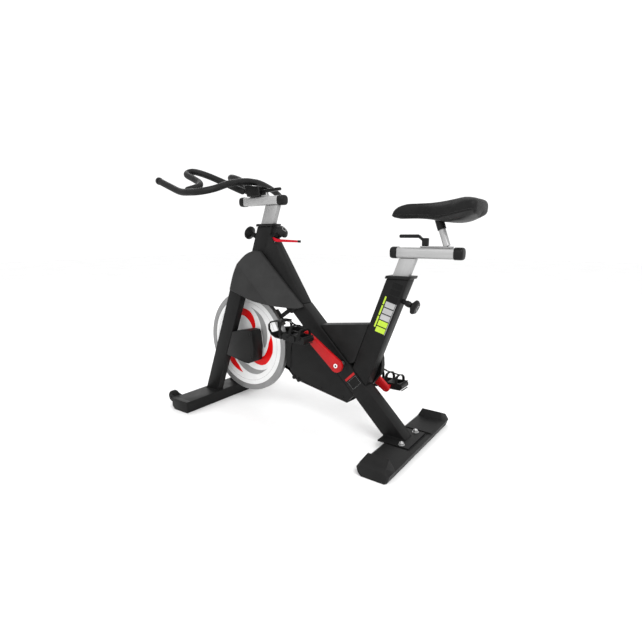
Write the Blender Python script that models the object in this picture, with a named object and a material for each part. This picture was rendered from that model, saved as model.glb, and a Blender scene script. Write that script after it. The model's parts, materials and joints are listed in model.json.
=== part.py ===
"""Indoor spin bike: a welded frame on two floor beams, with a belt-driven flywheel, cranks and
pedals, a brake, and a saddle and a handlebar that each slide up and down and fore and aft.

+X points forward, +Y to the rider's left, +Z up. Side outlines are lists of (x, z) stations in
metres: x is measured forward from the rear edge of the rear foot, z up from the floor. The frame
empty moves that edge to REAR_EDGE, which puts the origin under the middle of the bike."""

import math

import bmesh
import bpy
from mathutils import Matrix, Vector

REAR_EDGE = -0.4765
GAP = 0.0003

# Floor beams
FOOT_HALF = 0.2725
REAR_BEAM = (0.012, 0.100, 0.006, 0.0290)
PLATE_TOP = 0.0350
FRONT_FOOT_BACK, FRONT_FOOT_FRONT, FRONT_FOOT_TOP = 0.957, 1.061, 0.050
ROLLER_AT, ROLLER_RADIUS, ROLLER_WIDTH = (1.090, 0.238, 0.043), 0.026, 0.026

# Spine, head and seat tube
SPINE_HALF = 0.030
BEND_TOP, BEND_BOTTOM = (0.506, 0.493), (0.560, 0.451)
SEAT_LEAN, HEAD_LEAN, LEG_LEAN = math.radians(20.8), math.radians(20.0), math.radians(21.1)
SEAT_TUBE_TOP, SEAT_TUBE_HALF, SEAT_TUBE_DEPTH = 0.612, 0.0275, 0.0776
SEAT_AXIS_X = 0.104
HEAD_TOP, HEAD_BOTTOM, HEAD_HALF, HEAD_DEPTH = 0.795, 0.602, 0.022, 0.076
HEAD_AXIS_X = 0.7105
POST_HALF, SEAT_POST_DEPTH, BAR_POST_DEPTH, BORE_PLAY = 0.012, 0.057, 0.064, 0.003
TUBE_WALL = 0.003
COLLAR_HEIGHT = 0.011

# Front legs
AXLE_PLATE, AXLE_COVER_INNER = (0.0562, 0.0622), {"left": 0.0320, "right": 0.0626}
LEG_INNER, LEG_OUTER, LEG_DEPTH = 0.0562, 0.0922, 0.071
LEG_FRONT_FOOT_X = 1.043

# Drive
CRANK, CRANK_LENGTH, CRANK_ANGLE = (0.319, 0.280), 0.170, math.radians(36.5)
ARM_INNER, ARM_OUTER, CRANK_BOSS = 0.0645, 0.0780, 0.0265
SHELL_RADIUS, SPINDLE_RADIUS = 0.0160, 0.0080
PEDAL_INNER, PEDAL_OUTER, PEDAL_Y = 0.1000, 0.1620, 0.1310
PEDAL_TILT = {"left": math.radians(4), "right": math.radians(-2)}
WHEEL, WHEEL_RADIUS, DISC_RADIUS = (0.8385, 0.290), 0.2255, 0.1996
WHEEL_LEFT, WHEEL_RIGHT = 0.0198, -0.0040
DRIVE_RADIUS, HUB_PULLEY_RADIUS, BELT_THICK = 0.100, 0.034, 0.003
BELT_NEAR, BELT_FAR = -0.0345, -0.0495
GUARD_NEAR, GUARD_FAR, GUARD_WALL = -0.0310, -0.0550, 0.0022

# Sliders, bars and saddle
SLIDER_HEIGHT, SLIDER_HALF = 0.036, 0.019
SEAT_SLIDER = (-0.1070, 0.1390, 0.7015)
BAR_SLIDER = (0.6180, 0.8560, 0.8985)
TUBE_RADIUS = 0.0135
SADDLE_BASE, PLATE = 0.8065, 0.0045

# Brake
LEVER_SWING = 12
SHOE_ANGLE, BRAKE_CLEAR, KNOB_RISE = math.radians(146), 0.0020, math.radians(38)

# Body pivots, at stations: a moving piece hangs on the empty at its joint's axis
PIVOTS = {
    "frame": (0, 0, 0),
    "flywheel": (WHEEL[0], 0, WHEEL[1]),
    "crank": (CRANK[0], 0, CRANK[1]),
    "handlebar_post": (HEAD_AXIS_X, 0, HEAD_TOP),
    "handlebar_carriage": (0.765, 0, BAR_SLIDER[2]),
    "handlebar_lever": (0.744, 0, 0.925),
    "seat_post": (SEAT_AXIS_X, 0, SEAT_TUBE_TOP),
    "seat_carriage": (-0.030, 0, SEAT_SLIDER[2]),
    "seat_lever": (0.020, 0, 0.733),
    "seat_pin": (0.1086, 0, 0.534),
    "head_pin": (0.7597, 0, 0.752),
    "resistance_knob": (0.6688, 0, 0.7480),
    "brake_pad": (0.584, 0, 0.4616),
    "brake_lever": (0.6775, 0.0165, 0.7435),
}
SIDES = {"left": 1, "right": -1}


def pedal_centre(side):
    """Axis point (x, z) of the pedal on this side: the cranks stand opposite each other."""
    reach = SIDES[side] * CRANK_LENGTH
    return CRANK[0] + reach * math.cos(CRANK_ANGLE), CRANK[1] + reach * math.sin(CRANK_ANGLE)


for side_name, sign in SIDES.items():
    pedal_x, pedal_z = pedal_centre(side_name)
    PIVOTS["pedal_" + side_name] = (pedal_x, sign * PEDAL_Y, pedal_z)
    PIVOTS["roller_" + side_name] = (ROLLER_AT[0], sign * ROLLER_AT[1], ROLLER_AT[2])


# ---------------------------------------------------------------- scene and materials


def clear_scene():
    for obj in list(bpy.data.objects):
        bpy.data.objects.remove(obj)


def material(name, colour, roughness, metallic=0.0):
    made = bpy.data.materials.new(name)
    made.use_nodes = True
    shader = made.node_tree.nodes["Principled BSDF"]
    shader.inputs["Base Color"].default_value = (*colour, 1.0)
    shader.inputs["Roughness"].default_value = roughness
    shader.inputs["Metallic"].default_value = metallic
    made.diffuse_color = (*colour, 1.0)
    return made


def make_materials():
    return {
        "paint": material("frame_paint", (0.026, 0.026, 0.028), 0.42),
        "plastic": material("cover_plastic", (0.032, 0.032, 0.034), 0.55),
        "black": material("black_plastic", (0.012, 0.012, 0.013), 0.45),
        "silver": material("silver_tube", (0.60, 0.61, 0.62), 0.32, 0.85),
        "steel": material("bare_steel", (0.50, 0.50, 0.51), 0.28, 1.0),
        "rim": material("wheel_rim", (0.42, 0.43, 0.44), 0.30, 0.9),
        "white": material("wheel_white", (0.83, 0.84, 0.85), 0.35),
        "red": material("crank_red", (0.60, 0.012, 0.022), 0.30),
        "rubber": material("rubber", (0.016, 0.016, 0.017), 0.80),
        "saddle": material("saddle_cover", (0.020, 0.020, 0.021), 0.60),
        "felt": material("brake_felt", (0.035, 0.034, 0.033), 0.95),
    }


def make_pivots():
    """One empty for each body, all under the frame's empty."""
    made = {}
    for name, at in PIVOTS.items():
        empty = bpy.data.objects.new(name + "_pivot", None)
        bpy.context.scene.collection.objects.link(empty)
        if name == "frame":
            empty.location = (REAR_EDGE, 0, 0)
        else:
            empty.parent = made["frame"]
            empty.location = at
        made[name] = empty
    return made


# ---------------------------------------------------------------- shapes


def add(name, data, finish, body="frame", at=(0, 0, 0), turn=(0, 0, 0)):
    """Links an object whose origin is at station `at`, under the empty of its body."""
    obj = bpy.data.objects.new(name, data)
    bpy.context.scene.collection.objects.link(obj)
    data.materials.append(FINISHES[finish])
    obj.parent = EMPTIES[body]
    obj.location = Vector(at) - Vector(PIVOTS[body])
    obj.rotation_euler = turn
    return obj


def mesh_from(name, build):
    mesh = bpy.data.meshes.new(name)
    bm = bmesh.new()
    build(bm)
    bmesh.ops.recalc_face_normals(bm, faces=bm.faces)
    bm.to_mesh(mesh)
    bm.free()
    return mesh


def rounded(obj, width, segments=2, angle=30):
    edge = obj.modifiers.new("edges", "BEVEL")
    edge.width = width
    edge.segments = segments
    edge.limit_method = "ANGLE"
    edge.angle_limit = math.radians(angle)
    return obj


def smooth(obj, angle=40):
    obj.data.shade_smooth()
    obj.data.set_sharp_from_angle(angle=math.radians(angle))
    return obj


def combine(obj, other, operation):
    """Adds a Boolean with a helper shape, and keeps the helper itself out of the model."""
    other.hide_render = True
    other.display_type = "WIRE"
    change = obj.modifiers.new(other.name, "BOOLEAN")
    change.operation = operation
    change.solver = "EXACT"
    change.object = other
    return obj


def cut(obj, cutter):
    return combine(obj, cutter, "DIFFERENCE")


def weld(obj, piece):
    return combine(obj, piece, "UNION")


def prism_mesh(name, outline, y0, y1):
    """A side outline drawn in (x, z) and pushed from y0 to y1."""

    def build(bm):
        face = bm.faces.new([bm.verts.new((x, y0, z)) for x, z in outline])
        moved = bmesh.ops.extrude_face_region(bm, geom=[face])["geom"]
        corners = [v for v in moved if isinstance(v, bmesh.types.BMVert)]
        bmesh.ops.translate(bm, verts=corners, vec=(0, y1 - y0, 0))

    return mesh_from(name, build)


def prism(name, outline, y0, y1, finish, body="frame", bevel=0.0, segments=2):
    obj = add(name, prism_mesh(name, outline, y0, y1), finish, body)
    return rounded(obj, bevel, segments) if bevel else obj


def box(name, low, high, finish, body="frame", bevel=0.0, segments=2):
    outline = [(low[0], low[2]), (high[0], low[2]), (high[0], high[2]), (low[0], high[2])]
    return prism(name, outline, low[1], high[1], finish, body, bevel, segments)


def turned_mesh(name, profile, steps):
    """A profile of (radius, height) points about Z. A profile that leaves the axis is a ring."""
    ring = profile[0][0] > 0

    def build(bm):
        rows = []
        for radius, height in profile:
            if radius == 0:
                rows.append([bm.verts.new((0, 0, height))])
                continue
            angles = [2 * math.pi * k / steps for k in range(steps)]
            rows.append([bm.verts.new((radius * math.cos(a), radius * math.sin(a), height)) for a in angles])
        pairs = list(zip(rows, rows[1:]))
        if ring:
            pairs.append((rows[-1], rows[0]))
        for low, high in pairs:
            for k in range(steps):
                following = (k + 1) % steps
                corners = [low[k % len(low)], low[following % len(low)]]
                corners += [high[following % len(high)], high[k % len(high)]]
                bm.faces.new(list(dict.fromkeys(corners)))

    return mesh_from(name, build)


ALONG_Y = (-math.pi / 2, 0, 0)


def turned(name, profile, finish, body, at, turn=ALONG_Y, steps=32):
    """A turned piece: its profile's height runs along +Y unless another turn is given."""
    return smooth(add(name, turned_mesh(name, profile, steps), finish, body, at, turn), 35)


def disc(radius, low, high, bevel=0.0):
    """Profile of a solid round, with its rims bevelled."""
    inner = radius - bevel
    if not bevel:
        return [(0, low), (radius, low), (radius, high), (0, high)]
    return [(0, low), (inner, low), (radius, low + bevel), (radius, high - bevel), (inner, high), (0, high)]


def ring(inner, outer, low, high):
    return [(inner, low), (outer, low), (outer, high), (inner, high)]


def cutter_round(name, radius, at, half, steps=32, turn=ALONG_Y):
    return add(name, turned_mesh(name, disc(radius, -half, half), steps), "black", "frame", at, turn)


def arc(cx, cz, radius, start, end, count):
    """Points of a round stretch of an outline, from one angle in degrees to another."""
    angles = [math.radians(start + (end - start) * k / (count - 1)) for k in range(count)]
    return [(cx + radius * math.cos(a), cz + radius * math.sin(a)) for a in angles]


def leaning_outline(axis_x, axis_z, lean, depth, low_z, high_z):
    """Outline of a tube that leans back as it rises, through (axis_x, axis_z), with level ends."""
    half = depth / 2 / math.cos(lean)

    def centre(z):
        return axis_x - (z - axis_z) * math.tan(lean)

    low, high = centre(low_z), centre(high_z)
    return [(low - half, low_z), (low + half, low_z), (high + half, high_z), (high - half, high_z)]


def smooth_route(points, per_span):
    """A Catmull-Rom curve through the points."""
    ends = [2 * points[0] - points[1], *points, 2 * points[-1] - points[-2]]
    route = []
    for k in range(len(points) - 1):
        a, b, c, d = ends[k : k + 4]
        for step in range(per_span):
            t = step / per_span
            curved = (2 * a - 5 * b + 4 * c - d) * t**2 + (3 * b - a - 3 * c + d) * t**3
            route.append(0.5 * (2 * b + (c - a) * t + curved))
    return route + [points[-1]]


def bent_tube(name, points, radius, finish, body, per_span=4, sides=3):
    """A round tube along a smooth curve through the station points."""
    shift = Vector(PIVOTS[body])
    route = smooth_route([Vector(p) for p in points], per_span)
    curve = bpy.data.curves.new(name, "CURVE")
    curve.dimensions = "3D"
    curve.bevel_depth = radius
    curve.bevel_resolution = sides
    curve.use_fill_caps = True
    spline = curve.splines.new("POLY")
    spline.points.add(len(route) - 1)
    for point, place in zip(spline.points, route):
        point.co = (*(place - shift), 1)
        point.radius = 1
    return add(name, curve, finish, body, shift)


# ---------------------------------------------------------------- floor beams


def make_rear_foot():
    x0, x1, z0, z1 = REAR_BEAM
    beam = box("rear_foot_beam", (x0, -0.256, z0), (x1, 0.256, z1), "paint", bevel=0.002, segments=1)
    low, high = (x0 + TUBE_WALL, -0.260, z0 + TUBE_WALL), (x1 - TUBE_WALL, 0.260, z1 - TUBE_WALL)
    cut(beam, box("rear_beam_hollow", low, high, "paint"))
    plate = [(0.018, z1 + GAP), (0.137, z1 + GAP), (0.137, PLATE_TOP), (0.018, PLATE_TOP)]
    prism("rear_base_plate", plate, -0.076, 0.076, "paint")
    for side, sign in SIDES.items():
        make_rear_cover("rear_foot_cover_" + side, sign)


def make_rear_cover(name, sign):
    """The plastic shoe over one half of the rear beam: low by the spine, with a raised wedge."""
    # Stations along Y: distance from the middle, height at the top, and how far the top draws in
    sections = [(0.0885, 0.034, 0.004), (0.217, 0.034, 0.004), (0.228, 0.064, 0.016), (0.264, 0.048, 0.008)]
    sections.append((FOOT_HALF, 0.036, 0.012))

    def build(bm):
        rows = []
        for y, top, draw in sections:
            end = 0.006 if y == FOOT_HALF else 0.0
            outline = [
                (0.004 + end, 0.0), (0.098 - end, 0.0), (0.110 - end, 0.012),
                (0.114 - end, 0.026), (0.108 - draw, top), (0.0 + draw, top), (-0.006 + end, 0.028),
            ]
            rows.append([bm.verts.new((x, sign * y, z)) for x, z in outline])
        for low, high in zip(rows, rows[1:]):
            for k in range(len(low)):
                following = (k + 1) % len(low)
                bm.faces.new([low[k], low[following], high[following], high[k]])
        bm.faces.new(rows[0])
        bm.faces.new(rows[-1])
        bmesh.ops.triangulate(bm, faces=bm.faces)

    cover = add(name, mesh_from(name, build), "plastic")
    x0, x1, z0, z1 = REAR_BEAM
    y0, y1 = sorted((sign * 0.080, sign * 0.257))
    pocket = box(name + "_pocket", (x0 - 0.001, y0, z0 - 0.001), (x1 + 0.001, y1, z1 + 0.001), "plastic")
    return cut(cover, pocket)


def make_front_foot():
    back, front, top = FRONT_FOOT_BACK, FRONT_FOOT_FRONT, FRONT_FOOT_TOP
    outline = [(back, 0.004), (back + 0.003, 0), (front - 0.016, 0)]
    outline += [(front, 0.014), (front, top), (back, top)]
    foot = prism("front_foot", outline, -FOOT_HALF, FOOT_HALF, "paint", bevel=0.003)
    inside = FOOT_HALF - TUBE_WALL
    low, high = (back + TUBE_WALL, -inside, TUBE_WALL), (front - 0.0165, inside, top - TUBE_WALL)
    cut(foot, box("front_foot_hollow", low, high, "paint"))
    cut(foot, cutter_round("drain_hole", 0.004, ((back + front) / 2, 0, 0), 0.01, 16, (0, 0, 0)))
    for side, sign in SIDES.items():
        make_roller(foot, side, sign)


def make_roller(foot, side, sign):
    """A rubber transport wheel between the two cheeks of a fork welded to the front of the beam."""
    x, y, z = ROLLER_AT
    half, cheek = ROLLER_WIDTH / 2 + 0.0015, 0.004
    front = FRONT_FOOT_FRONT - 0.010
    outline = [(front, 0.016), (front, 0.048), (x - 0.004, z + 0.014), (x + 0.010, z + 0.006)]
    outline += [(x + 0.010, z - 0.010), (x - 0.008, z - 0.014)]
    outside = half + cheek
    weld(foot, prism(f"roller_fork_{side}", outline, sign * y - outside, sign * y + outside, "paint"))
    cut(foot, cutter_round(f"roller_slot_{side}", ROLLER_RADIUS + 0.002, (x, sign * y, z), half, 28))
    flange = ROLLER_WIDTH / 2
    profile = [(0, -flange), (ROLLER_RADIUS - 0.003, -flange), (ROLLER_RADIUS, -flange + 0.004)]
    profile += [(ROLLER_RADIUS, flange - 0.004), (ROLLER_RADIUS - 0.003, flange), (0, flange)]
    turned(f"roller_{side}", profile, "rubber", "roller_" + side, (x, sign * y, z), steps=28)


# ---------------------------------------------------------------- frame tubes


def hollow(tube, outline, half, sides):
    """Bores a four-cornered prism from end to end. `sides` are its two long edges' first corners."""

    def moved_in(first):
        """The long edge from this corner to the next, moved in by the wall and out past both ends."""
        start, end = Vector(outline[first]), Vector(outline[(first + 1) % 4])
        along = (end - start).normalized()
        inward = Vector((-along.y, along.x))
        if inward.dot(middle - start) < 0:
            inward.negate()
        start, end = start + inward * TUBE_WALL, end + inward * TUBE_WALL
        return [tuple(start - along * 0.02), tuple(end + along * 0.02)]

    middle = sum((Vector(p) for p in outline), Vector((0, 0))) / 4
    bore = [point for side in sides for point in moved_in(side)]
    inside = half - TUBE_WALL
    return cut(tube, prism(tube.name + "_hollow", bore, -inside, inside, "paint"))


def make_spine():
    foot = PLATE_TOP + GAP
    lower = [BEND_TOP, (foot + 0.013, foot), (foot + 0.109, foot), BEND_BOTTOM]
    tube = prism("lower_spine", lower, -SPINE_HALF, SPINE_HALF, "paint", bevel=0.004)
    hollow(tube, lower, SPINE_HALF, (0, 2))
    cut(tube, cutter_round("shell_hole", SHELL_RADIUS + GAP, (CRANK[0], 0, CRANK[1]), 0.05))
    up = math.radians(57.4)
    shift = (-GAP * 0.7, GAP)
    low_rear = (BEND_TOP[0] + shift[0], BEND_TOP[1] + shift[1])
    low_front = (BEND_BOTTOM[0] + shift[0], BEND_BOTTOM[1] + shift[1])
    half = HEAD_DEPTH / 2 / math.cos(HEAD_LEAN) + 0.0006

    def meets_head(start):
        """Where a spine edge from this point reaches the back of the head tube."""
        back, rise = HEAD_AXIS_X - half, math.tan(up)
        z = (start[1] - rise * start[0] + rise * (back + HEAD_TOP * math.tan(HEAD_LEAN))) / (
            1 + rise * math.tan(HEAD_LEAN)
        )
        return back - (z - HEAD_TOP) * math.tan(HEAD_LEAN), z

    upper = [low_front, meets_head(low_front), meets_head(low_rear), low_rear]
    upper_tube = prism("upper_spine", upper, -0.028, 0.028, "paint", bevel=0.004)
    hollow(upper_tube, upper, 0.028, (0, 2))


def make_head_tube():
    outline = leaning_outline(HEAD_AXIS_X, HEAD_TOP, HEAD_LEAN, HEAD_DEPTH, HEAD_BOTTOM, HEAD_TOP)
    tube = prism("head_tube", outline, -HEAD_HALF, HEAD_HALF, "paint", bevel=0.003)
    bore_depth = BAR_POST_DEPTH + BORE_PLAY
    bore = leaning_outline(HEAD_AXIS_X, HEAD_TOP, HEAD_LEAN, bore_depth, HEAD_BOTTOM - 0.01, HEAD_TOP + 0.01)
    cut(tube, prism("head_bore", bore, -POST_HALF - 0.002, POST_HALF + 0.002, "black"))
    sizes = (HEAD_DEPTH + 0.010, BAR_POST_DEPTH, HEAD_HALF + 0.005)
    make_collar("head_collar", HEAD_AXIS_X, HEAD_LEAN, HEAD_TOP, *sizes)


def make_seat_tube():
    top, axis = SEAT_TUBE_TOP, SEAT_AXIS_X
    half = SEAT_TUBE_DEPTH / 2 / math.cos(SEAT_LEAN)
    slope = math.tan(SEAT_LEAN)

    def meets_spine(x_at_top):
        """Where an edge of the tube reaches the top of the lower spine, z = x - 0.013."""
        z = (x_at_top + top * slope - 0.013) / (1 + slope) + 2 * GAP
        return x_at_top + (top - z) * slope, z

    outline = [meets_spine(axis - half), meets_spine(axis + half), (axis + half, top), (axis - half, top)]
    tube = prism("seat_tube", outline, -SEAT_TUBE_HALF, SEAT_TUBE_HALF, "paint", bevel=0.004)
    bore = leaning_outline(axis, top, SEAT_LEAN, SEAT_POST_DEPTH + BORE_PLAY, 0.310, top + 0.01)
    cut(tube, prism("seat_bore", bore, -POST_HALF - 0.002, POST_HALF + 0.002, "black"))
    sizes = (SEAT_TUBE_DEPTH + 0.010, SEAT_POST_DEPTH, SEAT_TUBE_HALF + 0.004)
    make_collar("seat_collar", axis, SEAT_LEAN, top, *sizes)


def make_collar(name, axis_x, lean, base_z, depth, post_depth, half_width):
    """The plastic sleeve on top of a tube, which the post slides through."""
    low, high = base_z + GAP, base_z + COLLAR_HEIGHT
    outline = leaning_outline(axis_x, base_z, lean, depth, low, high)
    collar = prism(name, outline, -half_width, half_width, "black", bevel=0.002)
    bore = leaning_outline(axis_x, base_z, lean, post_depth + 0.0012, low - 0.01, high + 0.01)
    cut(collar, prism(name + "_bore", bore, -POST_HALF - 0.0006, POST_HALF + 0.0006, "black"))


def make_legs():
    foot, crown_low = FRONT_FOOT_TOP + GAP, 0.540
    width = LEG_DEPTH / math.cos(LEG_LEAN)
    slope = math.tan(LEG_LEAN)

    def front_x(z):
        return LEG_FRONT_FOOT_X - (z - foot) * slope

    def span(z, inset=0.0):
        """The leg's front and rear stations at this height."""
        return [(front_x(z) - inset, z), (front_x(z) - width + inset, z)]

    top, wall = 0.598, TUBE_WALL / math.cos(LEG_LEAN)
    outline = span(foot) + span(top)[::-1]
    hollow_outline = span(foot - 0.01, wall) + span(top - 0.004, wall)[::-1]
    for side, sign in SIDES.items():
        y0, y1 = sorted((sign * LEG_INNER, sign * LEG_OUTER))
        leg = prism(f"front_leg_{side}", outline, y0, y1, "paint", bevel=0.004)
        inside = prism(f"leg_hollow_{side}", hollow_outline, y0 + TUBE_WALL, y1 - TUBE_WALL, "paint")
        cut(leg, inside)
        y0, y1 = sorted((sign * AXLE_PLATE[0], sign * AXLE_PLATE[1]))
        weld(leg, prism(f"dropout_{side}", axle_plate_outline(), y0, y1, "paint"))
        cut(leg, cutter_round(f"dropout_hole_{side}", 0.0075, (WHEEL[0], sign * 0.059, WHEEL[1]), 0.02, 20))
    low, high = crown_low, HEAD_BOTTOM - GAP
    crown = [(front_x(low) - 0.070, low), (front_x(low) - 0.006, low)]
    crown += [(front_x(high) - 0.006, high), (front_x(high) - 0.070, high)]
    prism("fork_crown", crown, -LEG_INNER + GAP, LEG_INNER - GAP, "paint", bevel=0.003, segments=1)


# ---------------------------------------------------------------- covers


def panel_outlines():
    """The near edge of the side panel, from its foot up round the shoulder, and its far edge."""
    front = [(0.858, 0.530), (0.845, 0.568), (0.829, 0.606), (0.806, 0.642)]
    front += [(0.776, 0.677), (0.740, 0.698), (0.710, 0.706)]
    back = [(0.752, 0.498), (0.708, 0.490), (0.655, 0.484), (0.598, 0.478)]
    back += [(0.545, 0.475), (0.518, 0.475), (0.502, 0.481)]
    return front, back


def make_side_panel(side, sign):
    """A bulged shell over the leg's top, the crown and the spine, thin at its rear ridge."""
    front, back = panel_outlines()
    columns = 6

    def out(x, z):
        """How far out the panel stands: full over the leg, falling to the spine at the ridge."""
        ridge = (z - 0.481) - 1.06 * (x - 0.502)
        away = max(0.0, -ridge) / math.hypot(1, 1.06)
        return 0.0310 + 0.0618 * min(1.0, away / 0.092) ** 0.70

    def build(bm):
        rows = []
        for k in range(len(front)):
            row = []
            for j in range(columns + 1):
                t = j / columns
                x = front[k][0] * (1 - t) + back[k][0] * t
                z = front[k][1] * (1 - t) + back[k][1] * t
                row.append(bm.verts.new((x, sign * out(x, z), z)))
            rows.append(row)
        for low, high in zip(rows, rows[1:]):
            for j in range(columns):
                bm.faces.new([low[j], low[j + 1], high[j + 1], high[j]])

    name = f"side_panel_{side}"
    panel = add(name, mesh_from(name, build), "plastic")
    wall = panel.modifiers.new("wall", "SOLIDIFY")
    wall.thickness = 0.0025
    wall.offset = 1.0
    return smooth(panel, 50)


def make_covers():
    for side, sign in SIDES.items():
        make_side_panel(side, sign)
        make_axle_cover(side, sign)
    clear = 2 * GAP
    slope = math.tan(SEAT_LEAN)
    tube_front = SEAT_AXIS_X + SEAT_TUBE_DEPTH / 2 / math.cos(SEAT_LEAN) + clear
    v_outline = [(0.2905, 0.2785 + clear), (0.428, 0.416 + clear)]
    v_outline += [(tube_front + (SEAT_TUBE_TOP - z) * slope, z) for z in (0.443, 0.290)]
    prism("v_cover", v_outline, -0.026, 0.026, "plastic", bevel=0.005)
    drop = 0.109 + clear + 0.001
    left_outline = [
        (0.268, 0.268 - drop), (0.300, 0.126), (0.330, 0.131), (0.526, 0.168), (0.548, 0.167), (0.580, 0.200),
        (0.584, 0.217), (0.568, 0.330), (0.556, 0.345), (0.345 + drop, 0.345),
    ]
    cover = prism("left_lower_cover", left_outline, 0.002, 0.0275, "plastic", bevel=0.003)
    inside = [(0.312, 0.160), (0.528, 0.186), (0.566, 0.210), (0.552, 0.330), (0.456, 0.330)]
    cut(cover, prism("left_cover_inside", inside, -0.01, 0.024, "plastic"))


def leg_rear(z, clear=0.0006):
    """The station just behind the leg's rear face at this height."""
    rear = LEG_FRONT_FOOT_X - LEG_DEPTH / math.cos(LEG_LEAN)
    return rear - (z - FRONT_FOOT_TOP) * math.tan(LEG_LEAN) - clear, z


def axle_plate_outline(grow=0.0):
    """The steel dropout on the back of the leg, which holds the end of the flywheel's axle."""
    outline = arc(WHEEL[0], WHEEL[1], 0.017 + grow, 90, 270, 9)
    low, high = leg_rear(0.262 - grow), leg_rear(0.318 + grow)
    return outline + [(low[0] + 0.012, low[1]), (high[0] + 0.012, high[1])]


def make_axle_cover(side, sign):
    """The plastic cover over the axle's end, behind the leg. The left one reaches in to the wheel."""
    outline = [
        (0.760, 0.216), (0.777, 0.215), leg_rear(0.236), leg_rear(0.346), (0.770, 0.364),
        (0.741, 0.363), (0.734, 0.352), (0.727, 0.289), (0.733, 0.228),
    ]
    inner = AXLE_COVER_INNER[side]
    y0, y1 = sorted((sign * inner, sign * LEG_OUTER))
    cover = prism(f"axle_cover_{side}", outline, y0, y1, "black", bevel=0.003)
    s0, s1 = sorted((sign * (AXLE_PLATE[0] - GAP), sign * (AXLE_PLATE[1] + GAP)))
    cut(cover, prism(f"axle_plate_slot_{side}", axle_plate_outline(GAP), s0, s1, "black"))
    centre = (WHEEL[0], sign * 0.050, WHEEL[1])
    return cut(cover, cutter_round(f"axle_recess_{side}", 0.0165, centre, 0.0255, 24))


# ---------------------------------------------------------------- drive


def make_bottom_bracket():
    x, z = CRANK
    at = (x, 0, z)
    half = 0.0305
    turned("bottom_bracket_shell", ring(0.0133, SHELL_RADIUS, -half, half), "steel", "frame", at)
    for side, sign in SIDES.items():
        low, high = sorted((sign * (half - 0.010), sign * (half - 0.001)))
        profile = ring(SPINDLE_RADIUS + GAP, 0.0133 - GAP, low, high)
        turned(f"crank_bearing_{side}", profile, "steel", "frame", at, steps=28)


def make_crank():
    x, z = CRANK
    turned("crank_spindle", disc(SPINDLE_RADIUS, -0.0640, 0.0640), "steel", "crank", (x, 0, z), steps=20)
    bore, hub, web, rim = SPINDLE_RADIUS + GAP, 0.018, DRIVE_RADIUS - 0.010, DRIVE_RADIUS
    profile = [
        (bore, BELT_FAR), (hub, BELT_FAR), (hub, -0.0445), (web, -0.0445),
        (web, BELT_FAR), (rim, BELT_FAR), (rim, BELT_NEAR), (web, BELT_NEAR),
        (web, -0.0395), (hub, -0.0395), (hub, BELT_NEAR), (bore, BELT_NEAR),
    ]
    turned("drive_pulley", profile, "black", "crank", (x, 0, z), steps=48)
    for side, sign in SIDES.items():
        make_crank_arm(side, sign)


def make_crank_arm(side, sign):
    """A flat tapered arm with a round boss at each end; the pedal's threaded stud stays in it."""
    x, z = CRANK
    px, pz = pedal_centre(side)
    heading = math.degrees(math.atan2(pz - z, px - x))
    outline = arc(x, z, CRANK_BOSS, heading + 72, heading + 288, 15)
    outline += arc(px, pz, 0.0150, heading - 80, heading + 80, 9)
    y0, y1 = sorted((sign * ARM_INNER, sign * ARM_OUTER))
    arm = prism(f"crank_arm_{side}", outline, y0, y1, "red", "crank", bevel=0.002)
    low, high = sorted((sign * (ARM_OUTER - 0.004), sign * (PEDAL_OUTER + 0.003)))
    weld(arm, turned(f"pedal_stud_{side}", disc(0.0062, low, high), "steel", "crank", (px, 0, pz), steps=16))


def make_pedals():
    for side, sign in SIDES.items():
        make_pedal(side, sign)


def make_pedal(side, sign):
    """A cage pedal: a body bored for its axle, and a toe cage that curls up over the front."""
    px, pz = pedal_centre(side)
    body = "pedal_" + side
    tilt = PEDAL_TILT[side]

    def tilted(points):
        """Points about the pedal's axis, turned nose up by the tilt."""
        c, s = math.cos(tilt), math.sin(tilt)
        return [(px + u * c - w * s, pz + u * s + w * c) for u, w in points]

    y0, y1 = sorted((sign * PEDAL_INNER, sign * PEDAL_OUTER))
    outline = [(-0.045, -0.013), (0.045, -0.013), (0.053, -0.006), (0.053, 0.008)]
    outline += [(0.045, 0.013), (-0.045, 0.013), (-0.053, 0.006), (-0.053, -0.006)]
    pedal = prism(f"pedal_body_{side}", tilted(outline), y0, y1, "black", body)
    cut(pedal, cutter_round(f"pedal_bore_{side}", 0.0068, (px, sign * 0.13, pz), 0.08, 16))
    for k, (low, high) in enumerate(((-0.040, -0.012), (0.012, 0.040))):
        window = [(low, -0.03), (high, -0.03), (high, 0.03), (low, 0.03)]
        w0, w1 = sorted((sign * (PEDAL_INNER + 0.008), sign * (PEDAL_OUTER - 0.008)))
        cut(pedal, prism(f"pedal_window_{side}_{k}", tilted(window), w0, w1, "black"))
    outer = [(0.0535, -0.012), (0.085, -0.013), (0.108, -0.004), (0.121, 0.014)]
    outer += [(0.123, 0.032), (0.112, 0.047), (0.090, 0.054), (0.058, 0.056)]
    inner = [(u - 0.001 - 0.02 * u, w - 0.004 if w > 0.04 else w + 0.003) for u, w in reversed(outer)]
    inner[-1] = (0.0535, 0.010)
    inner[-2] = (0.080, -0.008)
    c0, c1 = sorted((sign * (PEDAL_INNER - 0.001), sign * (PEDAL_OUTER + 0.001)))
    cage = prism(f"toe_cage_{side}", tilted(outer + inner), c0, c1, "black", body)
    hole = [(0.095, 0.002), (0.140, 0.002), (0.140, 0.040), (0.095, 0.040)]
    h0, h1 = sorted((sign * (PEDAL_INNER + 0.008), sign * (PEDAL_OUTER - 0.008)))
    cut(cage, prism(f"cage_hole_{side}", tilted(hole), h0, h1, "black"))


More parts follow.
